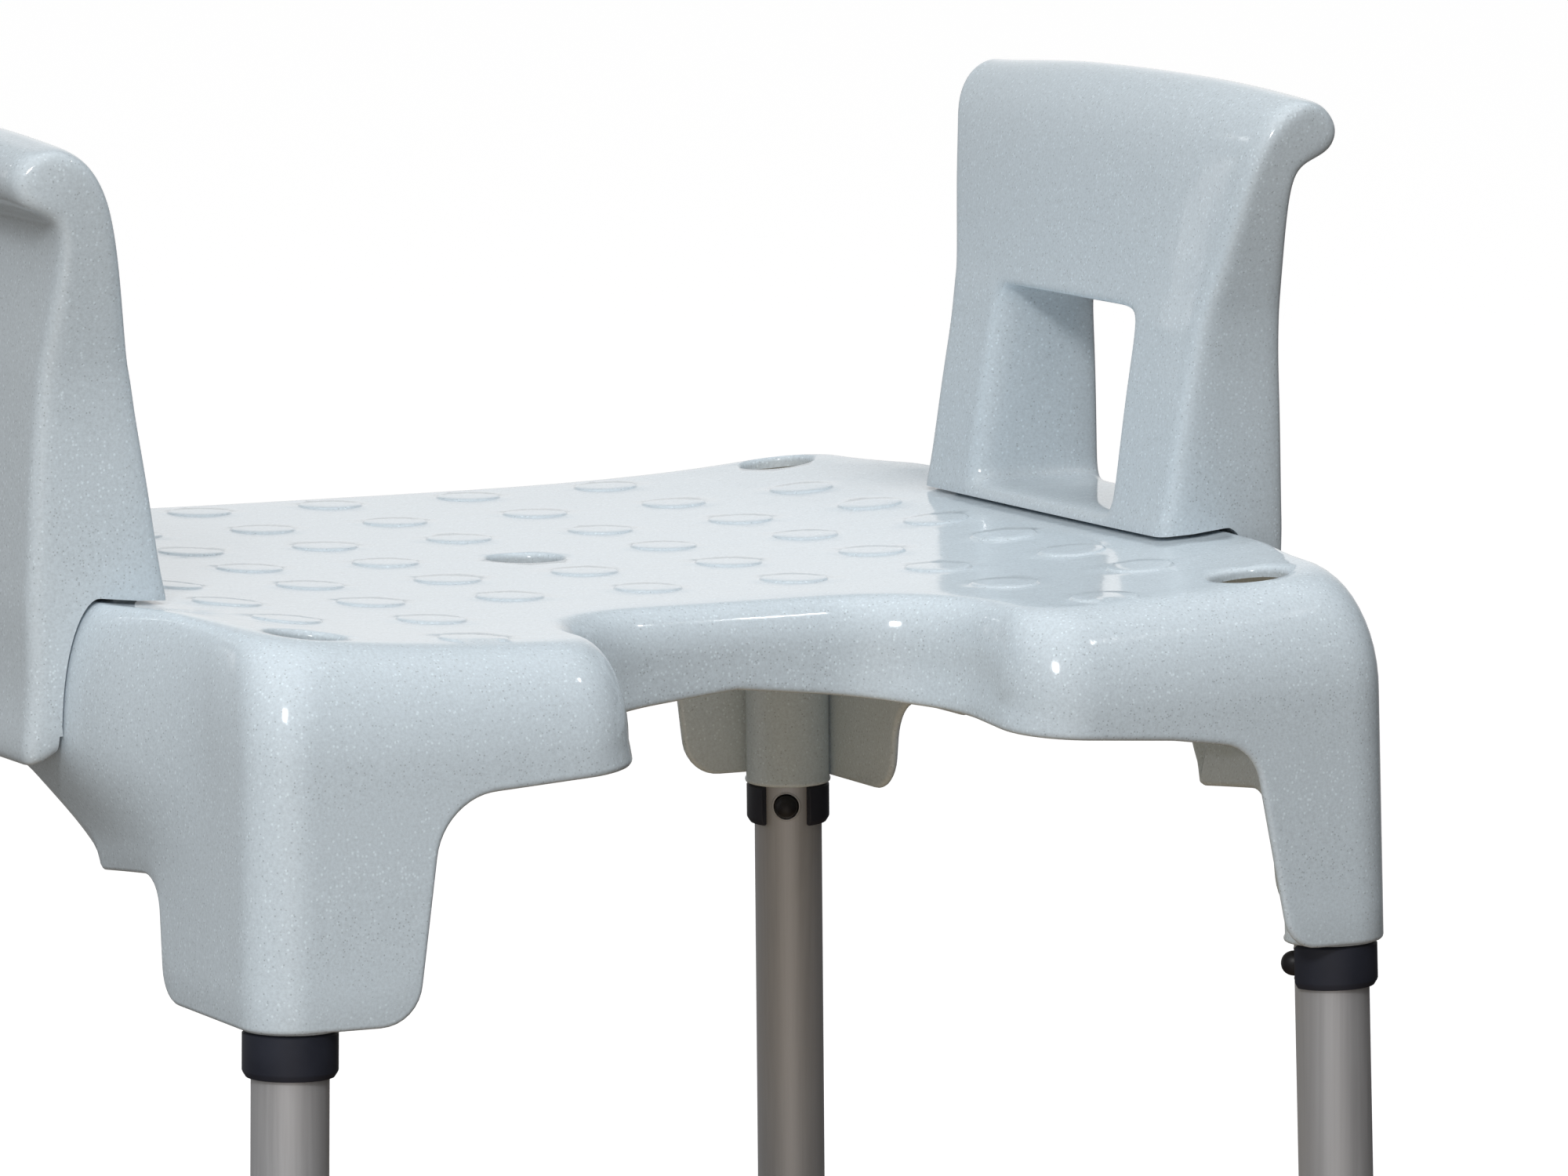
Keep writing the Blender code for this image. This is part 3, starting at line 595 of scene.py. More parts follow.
def half_shell(side):
    """Columns of outer points from the crest to the lip, and what the lip needs."""
    edge = resampled(lower_edge(side), STEP)
    tangent = np.gradient(edge, axis=0)
    tangent /= np.linalg.norm(tangent, axis=1)[:, None]
    inward = np.column_stack([-tangent[:, 1], tangent[:, 0]])
    base = edge + inward * (WALL / 2)
    base[0, 0], base[-1, 0] = 0.0, L_END
    inward[0], inward[-1] = (0.0, 1.0), (0.0, 1.0)
    tops = softened(base[:, 0], 11.0)
    columns = []
    for (lb, zb), lt, (nl, nz) in zip(base, tops, inward):
        lt = min(L_END, max(0.0, lt))
        column = turn_points(lt, TURN_N)
        zw = column[-1][2]
        for j in range(1, WALL_N + 1):
            f = j / WALL_N
            z = lerp(zw, zb, f)
            x, y = wall_point(lerp(lt, lb, 1.0 - (1.0 - f) ** 2), z)
            column.append((x, y, z))
        bx, by = wall_point(lb, zb)
        ox, oy = wall_point(min(L_END, max(0.0, lb - nl)), zb - nz)
        out = Vector((ox - bx, oy - by, -nz))
        t = to_t(lb)
        corner = max(1.0 - smoothstep(0.5, 1.0, abs(t - 5.5)), 1.0 - smoothstep(0.5, 1.0, abs(t - 7.5)))
        columns.append((column, out, corner, lb))
    return columns


def room(points, outline):
    """Distance from each point to a closed outline's corners, negative outside it."""
    points = np.asarray(points, dtype=float)
    a, b = outline, np.roll(outline, -1, axis=0)
    px, py = points[:, 0][:, None], points[:, 1][:, None]
    away = np.hypot(px - a[None, :, 0], py - a[None, :, 1]).min(axis=1)
    crosses = (a[None, :, 1] > py) != (b[None, :, 1] > py)
    rise = np.where(b[:, 1] == a[:, 1], 1.0, b[:, 1] - a[:, 1])[None, :]
    at = (b[None, :, 0] - a[None, :, 0]) * (py - a[None, :, 1]) / rise + a[None, :, 0]
    inside = (crosses & (px < at)).sum(axis=1) % 2 == 1
    return np.where(inside, away, -away)


def build_shell():
    right, left = half_shell(1), half_shell(-1)
    cols = []
    for c, out, corner, lb in right:
        cols.append(([Vector(p) for p in c], out, corner))
    for c, out, corner, lb in reversed(left[1:-1]):
        cols.append(([Vector((-x, y, z)) for x, y, z in c], Vector((-out.x, out.y, out.z)), corner))
    for i in (0, len(right) - 1):
        for p in cols[i][0]:
            p.x = 0.0
        cols[i][1].x = 0.0
    n = len(cols)
    grid = np.array([[tuple(p) for p in c[0]] for c in cols])
    along = np.roll(grid, -1, axis=0) - np.roll(grid, 1, axis=0)
    down = np.gradient(grid, axis=1)
    normal = np.cross(down, along)
    normal /= np.linalg.norm(normal, axis=2)[:, :, None]
    if normal[n // 4, -2, 0] < 0:
        normal = -normal
    rings = grid.shape[1]

    verts, faces = [], []

    def ring(points):
        start = len(verts)
        verts.extend(tuple(p) for p in points)
        return list(range(start, start + n))

    def strip(a, b):
        for i in range(n):
            j = (i + 1) % n
            faces.append((a[i], b[i], b[j], a[j]))

    outer = [ring(grid[:, k]) for k in range(rings)]
    for a, b in zip(outer, outer[1:]):
        strip(a, b)
    # rounded lip
    thick = np.array([WALL - 0.3 * c[2] for c in cols])
    centre, outs = [], []
    for i, (column, out, corner) in enumerate(cols):
        nv = Vector(normal[i, -1])
        out = (out - nv * out.dot(nv)).normalized()
        outs.append(out)
    last = outer[-1]
    for j in range(1, LIP_N + 1):
        phi = math.pi * j / LIP_N
        pts = []
        for i in range(n):
            nv = Vector(normal[i, -1])
            r = thick[i] / 2
            pts.append(Vector(grid[i, -1]) - nv * r + (nv * math.cos(phi) + outs[i] * math.sin(phi)) * r)
        nxt = ring(pts)
        strip(last, nxt)
        last = nxt
    # inner side
    keep = [rings - 3, rings - 6, TURN_N, TURN_N - 3, TURN_N - 6, TURN_N - 9, 3, 0]
    for k in keep:
        share = 1.0 if k >= TURN_N else k / TURN_N
        t = WALL - share * 0.3 * np.array([c[2] for c in cols])
        nxt = ring(grid[:, k] - normal[:, k] * t[:, None])
        strip(last, nxt)
        last = nxt

    def cap(loop_ids, rings_2d, inner_points, height):
        """Fill a loop with triangles, through given rings and points."""
        coords = [Vector((verts[i][0], verts[i][1])) for i in loop_ids]
        area = sum(a.x * b.y - b.x * a.y for a, b in zip(coords, coords[1:] + coords[:1]))
        face = list(range(n)) if area > 0 else list(reversed(range(n)))
        edges = []
        for r, closed in rings_2d:
            start = len(coords)
            coords += [Vector(p) for p in r]
            edges += [(start + k, start + (k + 1) % len(r)) for k in range(len(r) if closed else len(r) - 1)]
        coords += [Vector(p) for p in inner_points]
        out_co, _, out_faces, orig, _, _ = delaunay_2d_cdt(coords, edges, [face], 1, 1e-5, True)
        middles = np.array([[sum(out_co[i].x for i in f) / 3, sum(out_co[i].y for i in f) / 3] for f in out_faces])
        outline = np.array([[verts[i][0], verts[i][1]] for i in loop_ids])
        within = room(middles, outline) > 0.0
        index = []
        for co, src in zip(out_co, orig):
            hit = [s for s in src if s < n]
            if hit:
                index.append(loop_ids[hit[0]])
            else:
                index.append(len(verts))
                verts.append((co.x, co.y, height(co.x, co.y)))
        faces.extend(tuple(index[i] for i in f) for f, ok in zip(out_faces, within) if ok)

    # studs on the seat
    poly = np.array([[verts[i][0], verts[i][1]] for i in outer[0]])

    studs = []
    for x in STUD_X:
        for y in STUD_Y:
            near_drain = min(math.hypot(x - a, y - b) for a, b in DRAIN_XY)
            if (room([(x, y)], poly)[0] > STUD_R + 1.6 and near_drain > DRAIN_R + STUD_R + 4.0
                    and not under_arm(x, y)):
                studs.append((x, y))
    stud_array = np.array(studs + EDGE_STUDS)

    def stud_height(x, y):
        d = np.hypot(stud_array[:, 0] - x, stud_array[:, 1] - y).min()
        return STUD_H * (1.0 - smoothstep(STUD_R - 0.8, STUD_R + 0.7, d))

    stud_rings = []
    points = []
    for a, b in studs + EDGE_STUDS:
        points.append((a, b))
        for r, m in ((STUD_R * 0.5, 10), (STUD_R - 0.85, 32), (STUD_R - 0.45, 40), (STUD_R - 0.05, 40), (STUD_R + 0.35, 40), (STUD_R + 0.75, 32)):
            circle = [(a + r * math.cos(math.tau * (k + 0.5 * (m == 40)) / m), b + r * math.sin(math.tau * (k + 0.5 * (m == 40)) / m))
                      for k in range(m)]
            free = room(circle, poly) > 1.0
            if free.all():
                stud_rings.append((circle, True))
                continue
            first = next(k for k in range(m) if free[k] and not free[k - 1])
            run = []
            while free[(first + len(run)) % m]:
                run.append(circle[(first + len(run)) % m])
            stud_rings.append((run, False))
    pitch = 9.0
    grid_points = np.array([(-240.0 + (i + 0.5 * (j % 2)) * pitch, -225.0 + j * pitch * 0.866)
                            for j in range(int(460 / (pitch * 0.866))) for i in range(int(480 / pitch))])
    clear = np.hypot(grid_points[:, None, 0] - stud_array[None, :, 0],
                     grid_points[:, None, 1] - stud_array[None, :, 1]).min(axis=1)
    keep_points = (room(grid_points, poly) > 4.5) & (clear > STUD_R + 3.4)
    points += [tuple(p) for p in grid_points[keep_points]]
    cap(outer[0], stud_rings, points, lambda x, y: dish(x, y) + stud_height(x, y))
    coarse = np.array([(x, y) for x in range(-200, 201, 25) for y in range(-200, 201, 25)], dtype=float)
    coarse = coarse[room(coarse, poly) > 12.0]
    cap(last, [], coarse, lambda x, y: dish(x, y) - WALL)
    return new_mesh("seat_shell_fine", verts, faces, lift=SEAT_Z)


STUD_X = [-180.0, -122.5, -66.0, -9.0, 52.0, 113.5, 171.0]
STUD_Y = [-208.0, -150.5, -97.0, -42.0, 14.5, 71.0, 131.0, 194.0]
STUD_R, STUD_H = 12.7, 0.8
EDGE_STUDS = [(-132.0, -207.0), (125.5, -206.0)]      # cut off by the front edge


def under_arm(x, y):
    return abs(x) > 193.0 and abs(y - ARM_Y) < 116.0


shell = build_shell()


# ---------------------------------------------------------------- leg frames
def leg_matrix(sx, sy, heading):
    up = Vector((-sx * SPLAY, -sy * SPLAY, 1.0)).normalized()
    out = Vector((math.cos(math.radians(heading)), math.sin(math.radians(heading)), 0.0))
    out = (out - up * out.dot(up)).normalized()
    across = up.cross(out)
    m = Matrix((out, across, up)).transposed().to_4x4()
    m.translation = Vector((sx * LEG_X * MM, sy * LEG_Y * MM, (SEAT_Z + HUB_END) * MM))
    return m


def outwards(matrix, z):
    return matrix @ Matrix.Translation((0.0, 0.0, z * MM)) @ Matrix.Rotation(math.pi / 2, 4, "Y")


FRAMES = {name: leg_matrix(sx, sy, heading) for name, sx, sy, heading in CORNERS}
FLOOR_L = -(SEAT_Z + HUB_END) / math.cos(math.atan(SPLAY * math.sqrt(2)))

hubs = [turned("hub", [(0.0, 109.0), (6.0, 108.3), (11.0, 105.0), (15.6, 98.0), (HUB_R, 90.0), (HUB_R, 2.6),
                       (HUB_R + 0.5, 1.7), (HUB_R + 0.55, 1.1), (HUB_R + 0.3, 0.4), (HUB_R - 0.3, 0.0), (0.0, 0.0)],
               64, FRAMES[c[0]], closed=False) for c in CORNERS]
cut(shell, hubs, "UNION")

cutters = [turned("bore", [(0.0, 97.0), (12.4, 97.0), (12.4, 89.0), (BORE_R, 89.0), (BORE_R, 0.6), (BORE_R + 1.2, -0.6),
                           (BORE_R + 1.2, -20.0), (0.0, -20.0)], 48, FRAMES[c[0]] @ Matrix.Rotation(0.031, 4, "Z"),
                  closed=False) for c in CORNERS]
for i, (x, y) in enumerate(DRAIN_XY):
    rho, lean = 2.4, math.radians(25.0)
    profile = [(0.0, 9.0), (DRAIN_R + 3.4, 9.0), (DRAIN_R + 3.4, 0.95)]
    for k in range(6):
        a = lerp(lean, math.pi / 2, k / 5)
        profile.append((DRAIN_R + rho - rho * math.sin(a), rho * math.cos(a) - rho * math.cos(lean)))
    profile += [(DRAIN_R, -13.0), (0.0, -13.0)]
    slope = (dish(x + 4.0, y) - dish(x - 4.0, y)) / 8.0
    tilt = Vector((-slope, 0.0, 1.0)).to_track_quat("Z", "Y").to_matrix().to_4x4()
    place = Matrix.Translation((x * MM, y * MM, (SEAT_Z + dish(x, y)) * MM)) @ tilt @ Matrix.Rotation(0.06, 4, "Z")
    cutters.append(turned("drain", profile, 48, place, closed=False))
TONGUE_X = (215.0, 224.0)
TONGUE_HALF, TONGUE_END = 12.0, -34.0
TONGUE_Y = (-77.0, 77.0)
for dy in TONGUE_Y:
    for s in (1, -1):
        xs = sorted((s * (TONGUE_X[0] - 0.6), s * (TONGUE_X[1] + 0.6)))
        cutters.append(prism("slot", rounded_rect(xs[0], xs[1], ARM_Y + dy - TONGUE_HALF - 0.6,
                                                  ARM_Y + dy + TONGUE_HALF + 0.6, 2.0), -30.0, 30.0, 2))
cut(shell, cutters)
finish_piece(shell, SHELL, "seat", "seat_plastic", "seat_shell")

# ------------------------------------------------------------------ armrests
# Pairs of points up the armrest: inner face, outer face.
ARM_IN = [(205.2, -30.0), (205.8, -12.0), (206.4, 0.0), (207.6, 7.5), (210.2, 20.0), (215.0, 46.0), (219.4, 68.0),
          (222.2, 83.0), (224.6, 94.0), (229.3, 121.0), (233.6, 142.0), (238.0, 157.0), (244.6, 168.2),
          (253.0, 173.3), (259.6, 173.2)]
ARM_OUT = [(260.6, -56.0), (261.1, -34.0), (261.0, -6.0), (260.9, 7.5), (260.4, 20.0), (259.4, 46.0), (258.2, 68.0),
           (257.4, 83.0), (256.6, 94.0), (254.6, 118.0), (254.4, 134.5), (257.6, 143.0), (264.8, 147.6),
           (270.8, 152.6), (272.8, 160.5)]
ARM_TIP = [(265.8, 171.6), (270.8, 167.2)]
ARM_HALF = [(-60.0, 99.0), (0.0, 100.0), (76.0, 101.0), (90.0, 103.5), (104.0, 107.5), (119.0, 112.0),
            (135.0, 116.0), (150.0, 118.5), (180.0, 122.0)]
OPEN_Y = -4.0
# half-width of the hand opening at its sill and at its top: inner face, outer face
OPEN_IN, OPEN_OUT = (55.5, 55.5), (54.0, 52.5)
OPEN_REAR_OUT = 8.0       # the rear side wall leans in towards the outer face


def half_width(z):
    for (a, va), (b, vb) in zip(ARM_HALF, ARM_HALF[1:]):
        if z <= b:
            return lerp(va, vb, max(0.0, (z - a) / (b - a)))
    return ARM_HALF[-1][1]


def cage_of(points):
    """Control points whose cubic B-spline passes through closed points."""
    m = len(points)
    a = np.zeros((m, m))
    for i in range(m):
        a[i, i] = 4 / 6
        a[i, (i - 1) % m] = 1 / 6
        a[i, (i + 1) % m] = 1 / 6
    return np.linalg.solve(a, np.array(points))


def build_armrest():
    """Coarse cage round the section, with cells left out for the hand opening, then subdivided."""
    top = len(ARM_IN) - 1
    bottom = [(lerp(ARM_IN[0][0], ARM_OUT[0][0], f), lerp(ARM_IN[0][1], ARM_OUT[0][1], f)) for f in (0.34, 0.67)]
    loop = ARM_IN + ARM_TIP + ARM_OUT[::-1] + bottom[::-1]
    cage = [tuple(p) for p in cage_of(loop)]
    inner = cage[:top + 1]
    tip = cage[top + 1:top + 3]
    outer = cage[top + 3:top + 3 + top + 1][::-1]
    low = cage[-2:][::-1]

    def section(i, k):
        if i == 0:
            return inner[k]
        if i == 3:
            return outer[k]
        if k == top:
            return tip[i - 1]
        if k == 0:
            return low[i - 1]
        f = (0.33, 0.67)[i - 1]
        return lerp(inner[k][0], outer[k][0], f), lerp(inner[k][1], outer[k][1], f)

    def rows(i, k):
        """Places of the cage's rows along Y, front end first."""
        z = section(i, k)[1]
        half = half_width(z)
        front = half - {top: 3.5, top - 1: 1.2}.get(k, 0.0) * (1.0 if i < 3 else 1.3)
        rear = half + 4.5 * smoothstep(70.0, 125.0, z) + 9.0 * smoothstep(132.0, 166.0, z) - (1.5 if k == top else 0.0)
        up = min(1.0, max(0.0, (z - 7.0) / 76.0))
        f = i / 3.0
        half_open = lerp(lerp(OPEN_IN[0], OPEN_IN[1], up), lerp(OPEN_OUT[0], OPEN_OUT[1], up), f)
        of = OPEN_Y - half_open + 1.5 * up
        orr = OPEN_Y + half_open + 1.0 * up * (1 - f) - OPEN_REAR_OUT * f
        a0, b0 = ARM_Y - front, ARM_Y + rear
        tight = smoothstep(120.0, 160.0, z)
        round_end = smoothstep(96.0, 150.0, z)
        a0 -= 0.7 * round_end
        ys = [a0, a0 + lerp(9.0, 13.5, round_end), a0 + lerp(24.0, 30.0, round_end), None, of - 8.0, of, of + 16.0, OPEN_Y, orr - 16.0, orr, orr + 8.0, None,
              b0 - lerp(24.0, 17.0, tight), b0 - lerp(9.0, 5.0, tight), b0]
        ys[3] = (ys[2] + ys[4]) / 2
        ys[11] = (ys[10] + ys[12]) / 2
        return ys

    nj = 15
    open_j = range(5, 9)      # cells between the opening's sides
    open_k = range(3, 7)      # cells between its sill and its top

    def solid(i, k, j):
        if not (0 <= i < 3 and 0 <= k < top and 0 <= j < nj - 1):
            return False
        return not (j in open_j and k in open_k)

    ids, verts, faces = {}, [], []

    def vertex(i, k, j):
        key = (i, k, j)
        if key not in ids:
            x, z = section(i, k)
            y = rows(i, k)[j]
            along = (y - ARM_Y) / 122.0
            swell = max(0.0, 1.0 - abs(along) ** 2.6)
            x -= (1.0, 0.66, 0.33, 0.0)[i] * swell * lerp(1.4, 4.2, smoothstep(0.0, 80.0, z)) * (1.0 - smoothstep(150.0, 176.0, z))
            z -= (4.6 if along > 0 else 5.0) * min(1.0, abs(along)) ** 2.2 * smoothstep(138.0, 170.0, z)
            ids[key] = len(verts)
            verts.append((x, y, z))
        return ids[key]

    corners = {
        (1, 0, 0): ((1, 0, 0), (1, 1, 0), (1, 1, 1), (1, 0, 1)),
        (-1, 0, 0): ((0, 0, 0), (0, 0, 1), (0, 1, 1), (0, 1, 0)),
        (0, 1, 0): ((0, 1, 0), (0, 1, 1), (1, 1, 1), (1, 1, 0)),
        (0, -1, 0): ((0, 0, 0), (1, 0, 0), (1, 0, 1), (0, 0, 1)),
        (0, 0, 1): ((0, 0, 1), (1, 0, 1), (1, 1, 1), (0, 1, 1)),
        (0, 0, -1): ((0, 0, 0), (0, 1, 0), (1, 1, 0), (1, 0, 0)),
    }
    for i in range(3):
        for k in range(top):
            for j in range(nj - 1):
                if not solid(i, k, j):
                    continue
                for (di, dk, dj), quad in corners.items():
                    if not solid(i + di, k + dk, j + dj):
                        faces.append(tuple(vertex(i + a, k + b, j + c) for a, b, c in quad))
    obj = new_mesh("armrest_right_fine", verts, faces, lift=SEAT_Z)
    sub = obj.modifiers.new("smooth", "SUBSURF")
    sub.levels = 3
    sub.render_levels = 3
    return applied(obj)


def side_block():
    """The seat's filled side, a little larger, that shapes the armrest's base."""
    gap_x, gap_z = 0.8, 1.6
    verts, faces, sections = [], [], []
    for l in np.arange(l_side(-165.0), l_side(160.0), 4.0):
        turn = turn_points(l, 14)
        cx, cy, cz = turn[0]
        pts = [(150.0, cy, -130.0), (150.0, cy, dish(150.0, cy) + gap_z)]
        for x in (165.0, 180.0, 190.0, 198.0, 205.0, 212.0, 219.0):
            if x < cx - 3.0:
                pts.append((x, cy, dish(x, cy) + gap_z))
            else:
                pts.append((lerp(pts[-1][0], cx, 0.5), cy, dish(lerp(pts[-1][0], cx, 0.5), cy) + gap_z))
        pts += [(x + gap_x, y, z + gap_z) for x, y, z in turn]
        z0 = turn[-1][2]
        for j in range(1, 7):
            z = lerp(z0, -130.0, j / 6)
            x, y = wall_point(l, z)
            pts.append((x + gap_x, y, z))
        sections.append(list(range(len(verts), len(verts) + len(pts))))
        verts += pts
    m = len(sections[0])
    for a, b in zip(sections, sections[1:]):
        for k in range(m):
            k2 = (k + 1) % m
            faces.append((a[k], a[k2], b[k2], b[k]))
    faces.append(tuple(sections[0]))
    faces.append(tuple(reversed(sections[-1])))
    return new_mesh("side_block", verts, faces, lift=SEAT_Z)


arm = build_armrest()
relief = prism("relief", [(195.0, -75.0), (249.6, -75.0), (249.6, -45.5), (195.0, -45.5)], -160.0, 160.0, 1)
cut(arm, [side_block(), relief])
tongues = []
for dy in TONGUE_Y:
    y0 = ARM_Y + dy
    outline = rounded_rect(TONGUE_X[0], TONGUE_X[1], y0 - TONGUE_HALF, y0 + TONGUE_HALF, 1.6)
    tongues.append(prism("tongue", outline, TONGUE_END, 4.6, 2))
cut(arm, tongues, "UNION")
arm_left = bpy.data.objects.new("armrest_left_fine", arm.data.copy())
scene.collection.objects.link(arm_left)
fix = bmesh.new()
fix.from_mesh(arm_left.data)
for v in fix.verts:
    v.co.x = -v.co.x
bmesh.ops.reverse_faces(fix, faces=fix.faces)
fix.to_mesh(arm_left.data)
fix.free()
shade(arm_left)
finish_piece(arm, ARM, "armrest_right", "armrest_plastic", "armrest_right")
finish_piece(arm_left, ARM, "armrest_left", "armrest_plastic", "armrest_left")


# ---------------------------------------------------------------------- legs
def rim(name, matrix, z):
    """Bright deburred edge round a height hole, lying on the tube."""
    verts, faces = [], []
    n, m = 40, 8
    for i in range(n):
        a = math.tau * i / n
        r0 = HOLE_R + 0.42
        for k in range(m):
            b = math.tau * k / m
            r = r0 + 0.5 * math.cos(b)
            y, zz = r * math.cos(a), r * math.sin(a)
            x = math.sqrt(TUBE_R ** 2 - y * y) - 0.1 + 0.3 * math.sin(b)
            verts.append((x, y, zz + z))
    for i in range(n):
        for k in range(m):
            i2, k2 = (i + 1) % n, (k + 1) % m
            faces.append((i * m + k, i2 * m + k, i2 * m + k2, i * m + k2))
    obj = new_mesh(name, verts, faces, 80.0)
    obj.data.transform(matrix)
    return obj


def collar_piece(name, matrix):
    """C-shaped clip, open by 20 mm on the button's side, with softened ends."""
    r, h = COLLAR_R, COLLAR_H
    section = [(BORE_R + 0.05, -0.45), (15.9, -0.35), (16.35, -0.55), (r, -1.1), (r, -h + 2.6), (r - 0.25, -h + 1.9),
               (r - 1.35, -h + 0.15), (r - 1.7, -h), (BORE_R + 0.3, -h), (BORE_R + 0.05, -h + 0.3)]
    mid = (sum(p[0] for p in section) / len(section), sum(p[1] for p in section) / len(section))
    start = math.asin(10.0 / r)
    count = 72
    stops = [(start, 0.80)] + [(start + 0.010, 0.93), (start + 0.028, 1.0)]
    stops += [(lerp(start + 0.06, math.tau - start - 0.06, k / count), 1.0) for k in range(count + 1)]
    stops += [(math.tau - start - 0.028, 1.0), (math.tau - start - 0.010, 0.93), (math.tau - start, 0.80)]
    verts, faces = [], []
    m = len(section)
    for a, s in stops:
        for pr, pz in section:
            q = mid[0] + (pr - mid[0]) * (0.55 + 0.45 * s) if s < 1.0 else pr
            z = mid[1] + (pz - mid[1]) * (1.0 - (1.0 - s) * 0.25)
            verts.append((q * math.cos(a), q * math.sin(a), z))
    for i in range(len(stops) - 1):
        for k in range(m):
            k2 = (k + 1) % m
            faces.append((i * m + k, i * m + k2, (i + 1) * m + k2, (i + 1) * m + k))
    faces.append(tuple(range(m)))
    faces.append(tuple(reversed(range((len(stops) - 1) * m, len(stops) * m))))
    obj = new_mesh(name, verts, faces, 32.0)
    obj.data.transform(matrix)
    return obj


for name, sx, sy, heading in CORNERS:
    matrix = FRAMES[name]
    low = FLOOR_L + 11.25
    tube = turned("leg_tube_%s_fine" % name, [
        (TUBE_R - 0.35, LEG_TOP), (TUBE_R, LEG_TOP - 0.35), (TUBE_R, low + 0.35), (TUBE_R - 0.35, low),
        (TUBE_R - TUBE_WALL + 0.25, low), (TUBE_R - TUBE_WALL, low + 0.25), (TUBE_R - TUBE_WALL, LEG_TOP - 0.25),
        (TUBE_R - TUBE_WALL + 0.25, LEG_TOP)], 72, matrix @ Matrix.Rotation(0.021, 4, "Z"))
    drills = []
    for k in range(int(round(LEG_TRAVEL / PITCH)) + 1):
        drills.append(turned("drill", [(0.0, 20.0), (HOLE_R, 20.0), (HOLE_R, 8.0), (0.0, 8.0)], 36,
                             outwards(matrix, BUTTON_Z + PITCH * k), closed=False))
    cut(tube, drills)
    shade(tube, 30.0)
    rims = [rim("rim", matrix, BUTTON_Z + PITCH * k) for k in range(int(round(LEG_TRAVEL / PITCH)) + 1)]
    rim_mesh = bmesh.new()
    for r in rims:
        rim_mesh.from_mesh(r.data)
    holder = bpy.data.meshes.new("hole_rims_" + name)
    rim_mesh.to_mesh(holder)
    rim_mesh.free()
    for r in rims:
        bpy.data.objects.remove(r, do_unlink=True)
    hole_rims = bpy.data.objects.new("hole_rims_%s" % name, holder)
    scene.collection.objects.link(hole_rims)
    shade(hole_rims, 80.0)
    finish_piece(tube, LEG, "leg_" + name, "leg_aluminium", "leg_tube_" + name)
    finish_piece(hole_rims, LEG, "leg_" + name, "leg_aluminium")

    collar = collar_piece("collar_%s_fine" % name, matrix)
    finish_piece(collar, COLLAR, "seat", "collar_plastic", "collar_" + name)

    tipx = TUBE_R + BUTTON_PROUD
    b = BUTTON_R
    profile = [(0.0, tipx), (1.1, tipx - 0.12), (2.1, tipx - 0.46), (3.0, tipx - 1.02), (3.7, tipx - 1.75), (4.25, tipx - 2.65),
               (b - 0.12, tipx - 3.7), (b, tipx - 4.6), (b, 7.7), (6.2, 7.5), (6.2, 6.2), (0.0, 6.1)]
    button = turned("push_button_%s_fine" % name, profile, 48, outwards(matrix, BUTTON_Z), closed=False)
    finish_piece(button, BUTTON, "button_" + name, "button_plastic", "push_button_" + name)

    # ferrule: sheared to the leg's lean, with rings, a bead and a tread
    f = 0.0
    prof = [(BORE_R + 0.1, 39.6), (15.0, 40.2), (16.9, 40.2), (17.7, 39.6), (17.9, 38.6), (17.9, 36.4), (17.35, 35.7),
            (17.35, 34.9), (17.9, 34.2), (17.9, 31.6), (17.35, 30.9), (17.35, 30.1), (17.9, 29.4), (17.95, 26.8),
            (17.4, 26.1), (17.4, 25.3), (17.95, 24.6), (18.1, 18.0), (18.7, 13.5), (19.7, 9.4), (20.2, 6.4), (20.3, 2.6),
            (20.0, 1.0), (19.2, 0.25), (18.4, 0.0), (16.6, 0.0), (16.2, 1.4), (14.8, 1.4), (14.4, 0.0), (12.4, 0.0),
            (12.0, 1.4), (10.6, 1.4), (10.2, 0.0), (8.2, 0.0), (7.8, 1.4), (6.4, 1.4), (6.0, 0.0), (0.0, 0.0)]
    prof = prof[::-1]
    prof = [(0.0, 8.6)] + [(BORE_R + 0.1, 8.6)] + [(BORE_R + 0.1, 39.6)] + prof[::-1][1:]
    foot = turned("rubber_foot_%s_fine" % name, prof, 64, None, closed=False, angle=30.0)
    fx, fy = sx * (LEG_X + (SEAT_Z + HUB_END) * SPLAY), sy * (LEG_Y + (SEAT_Z + HUB_END) * SPLAY)
    shear = Matrix(((1, 0, -sx * SPLAY, fx * MM), (0, 1, -sy * SPLAY, fy * MM), (0, 0, 1, 0), (0, 0, 0, 1)))
    foot.data.transform(shear)
    finish_piece(foot, RUBBER, "leg_" + name, "foot_rubber", "rubber_foot_" + name)

    for node, mat in (("guide_tube_", GUIDE), ("foot_washer_", WASHER)):
        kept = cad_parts[node + name]
        kept.data.materials.clear()
        kept.data.materials.append(mat)

    # leaf spring: a copy of the frame's spring clip in spring steel, in place of the hidden original
    leaf = bpy.data.objects.new("spring_clip_%s_fine" % name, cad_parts["spring_clip_" + name].data.copy())
    scene.collection.objects.link(leaf)
    leaf.data.materials.clear()
    leaf.data.materials.append(SPRING)
    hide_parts("spring_clip_" + name)
    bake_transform(leaf)

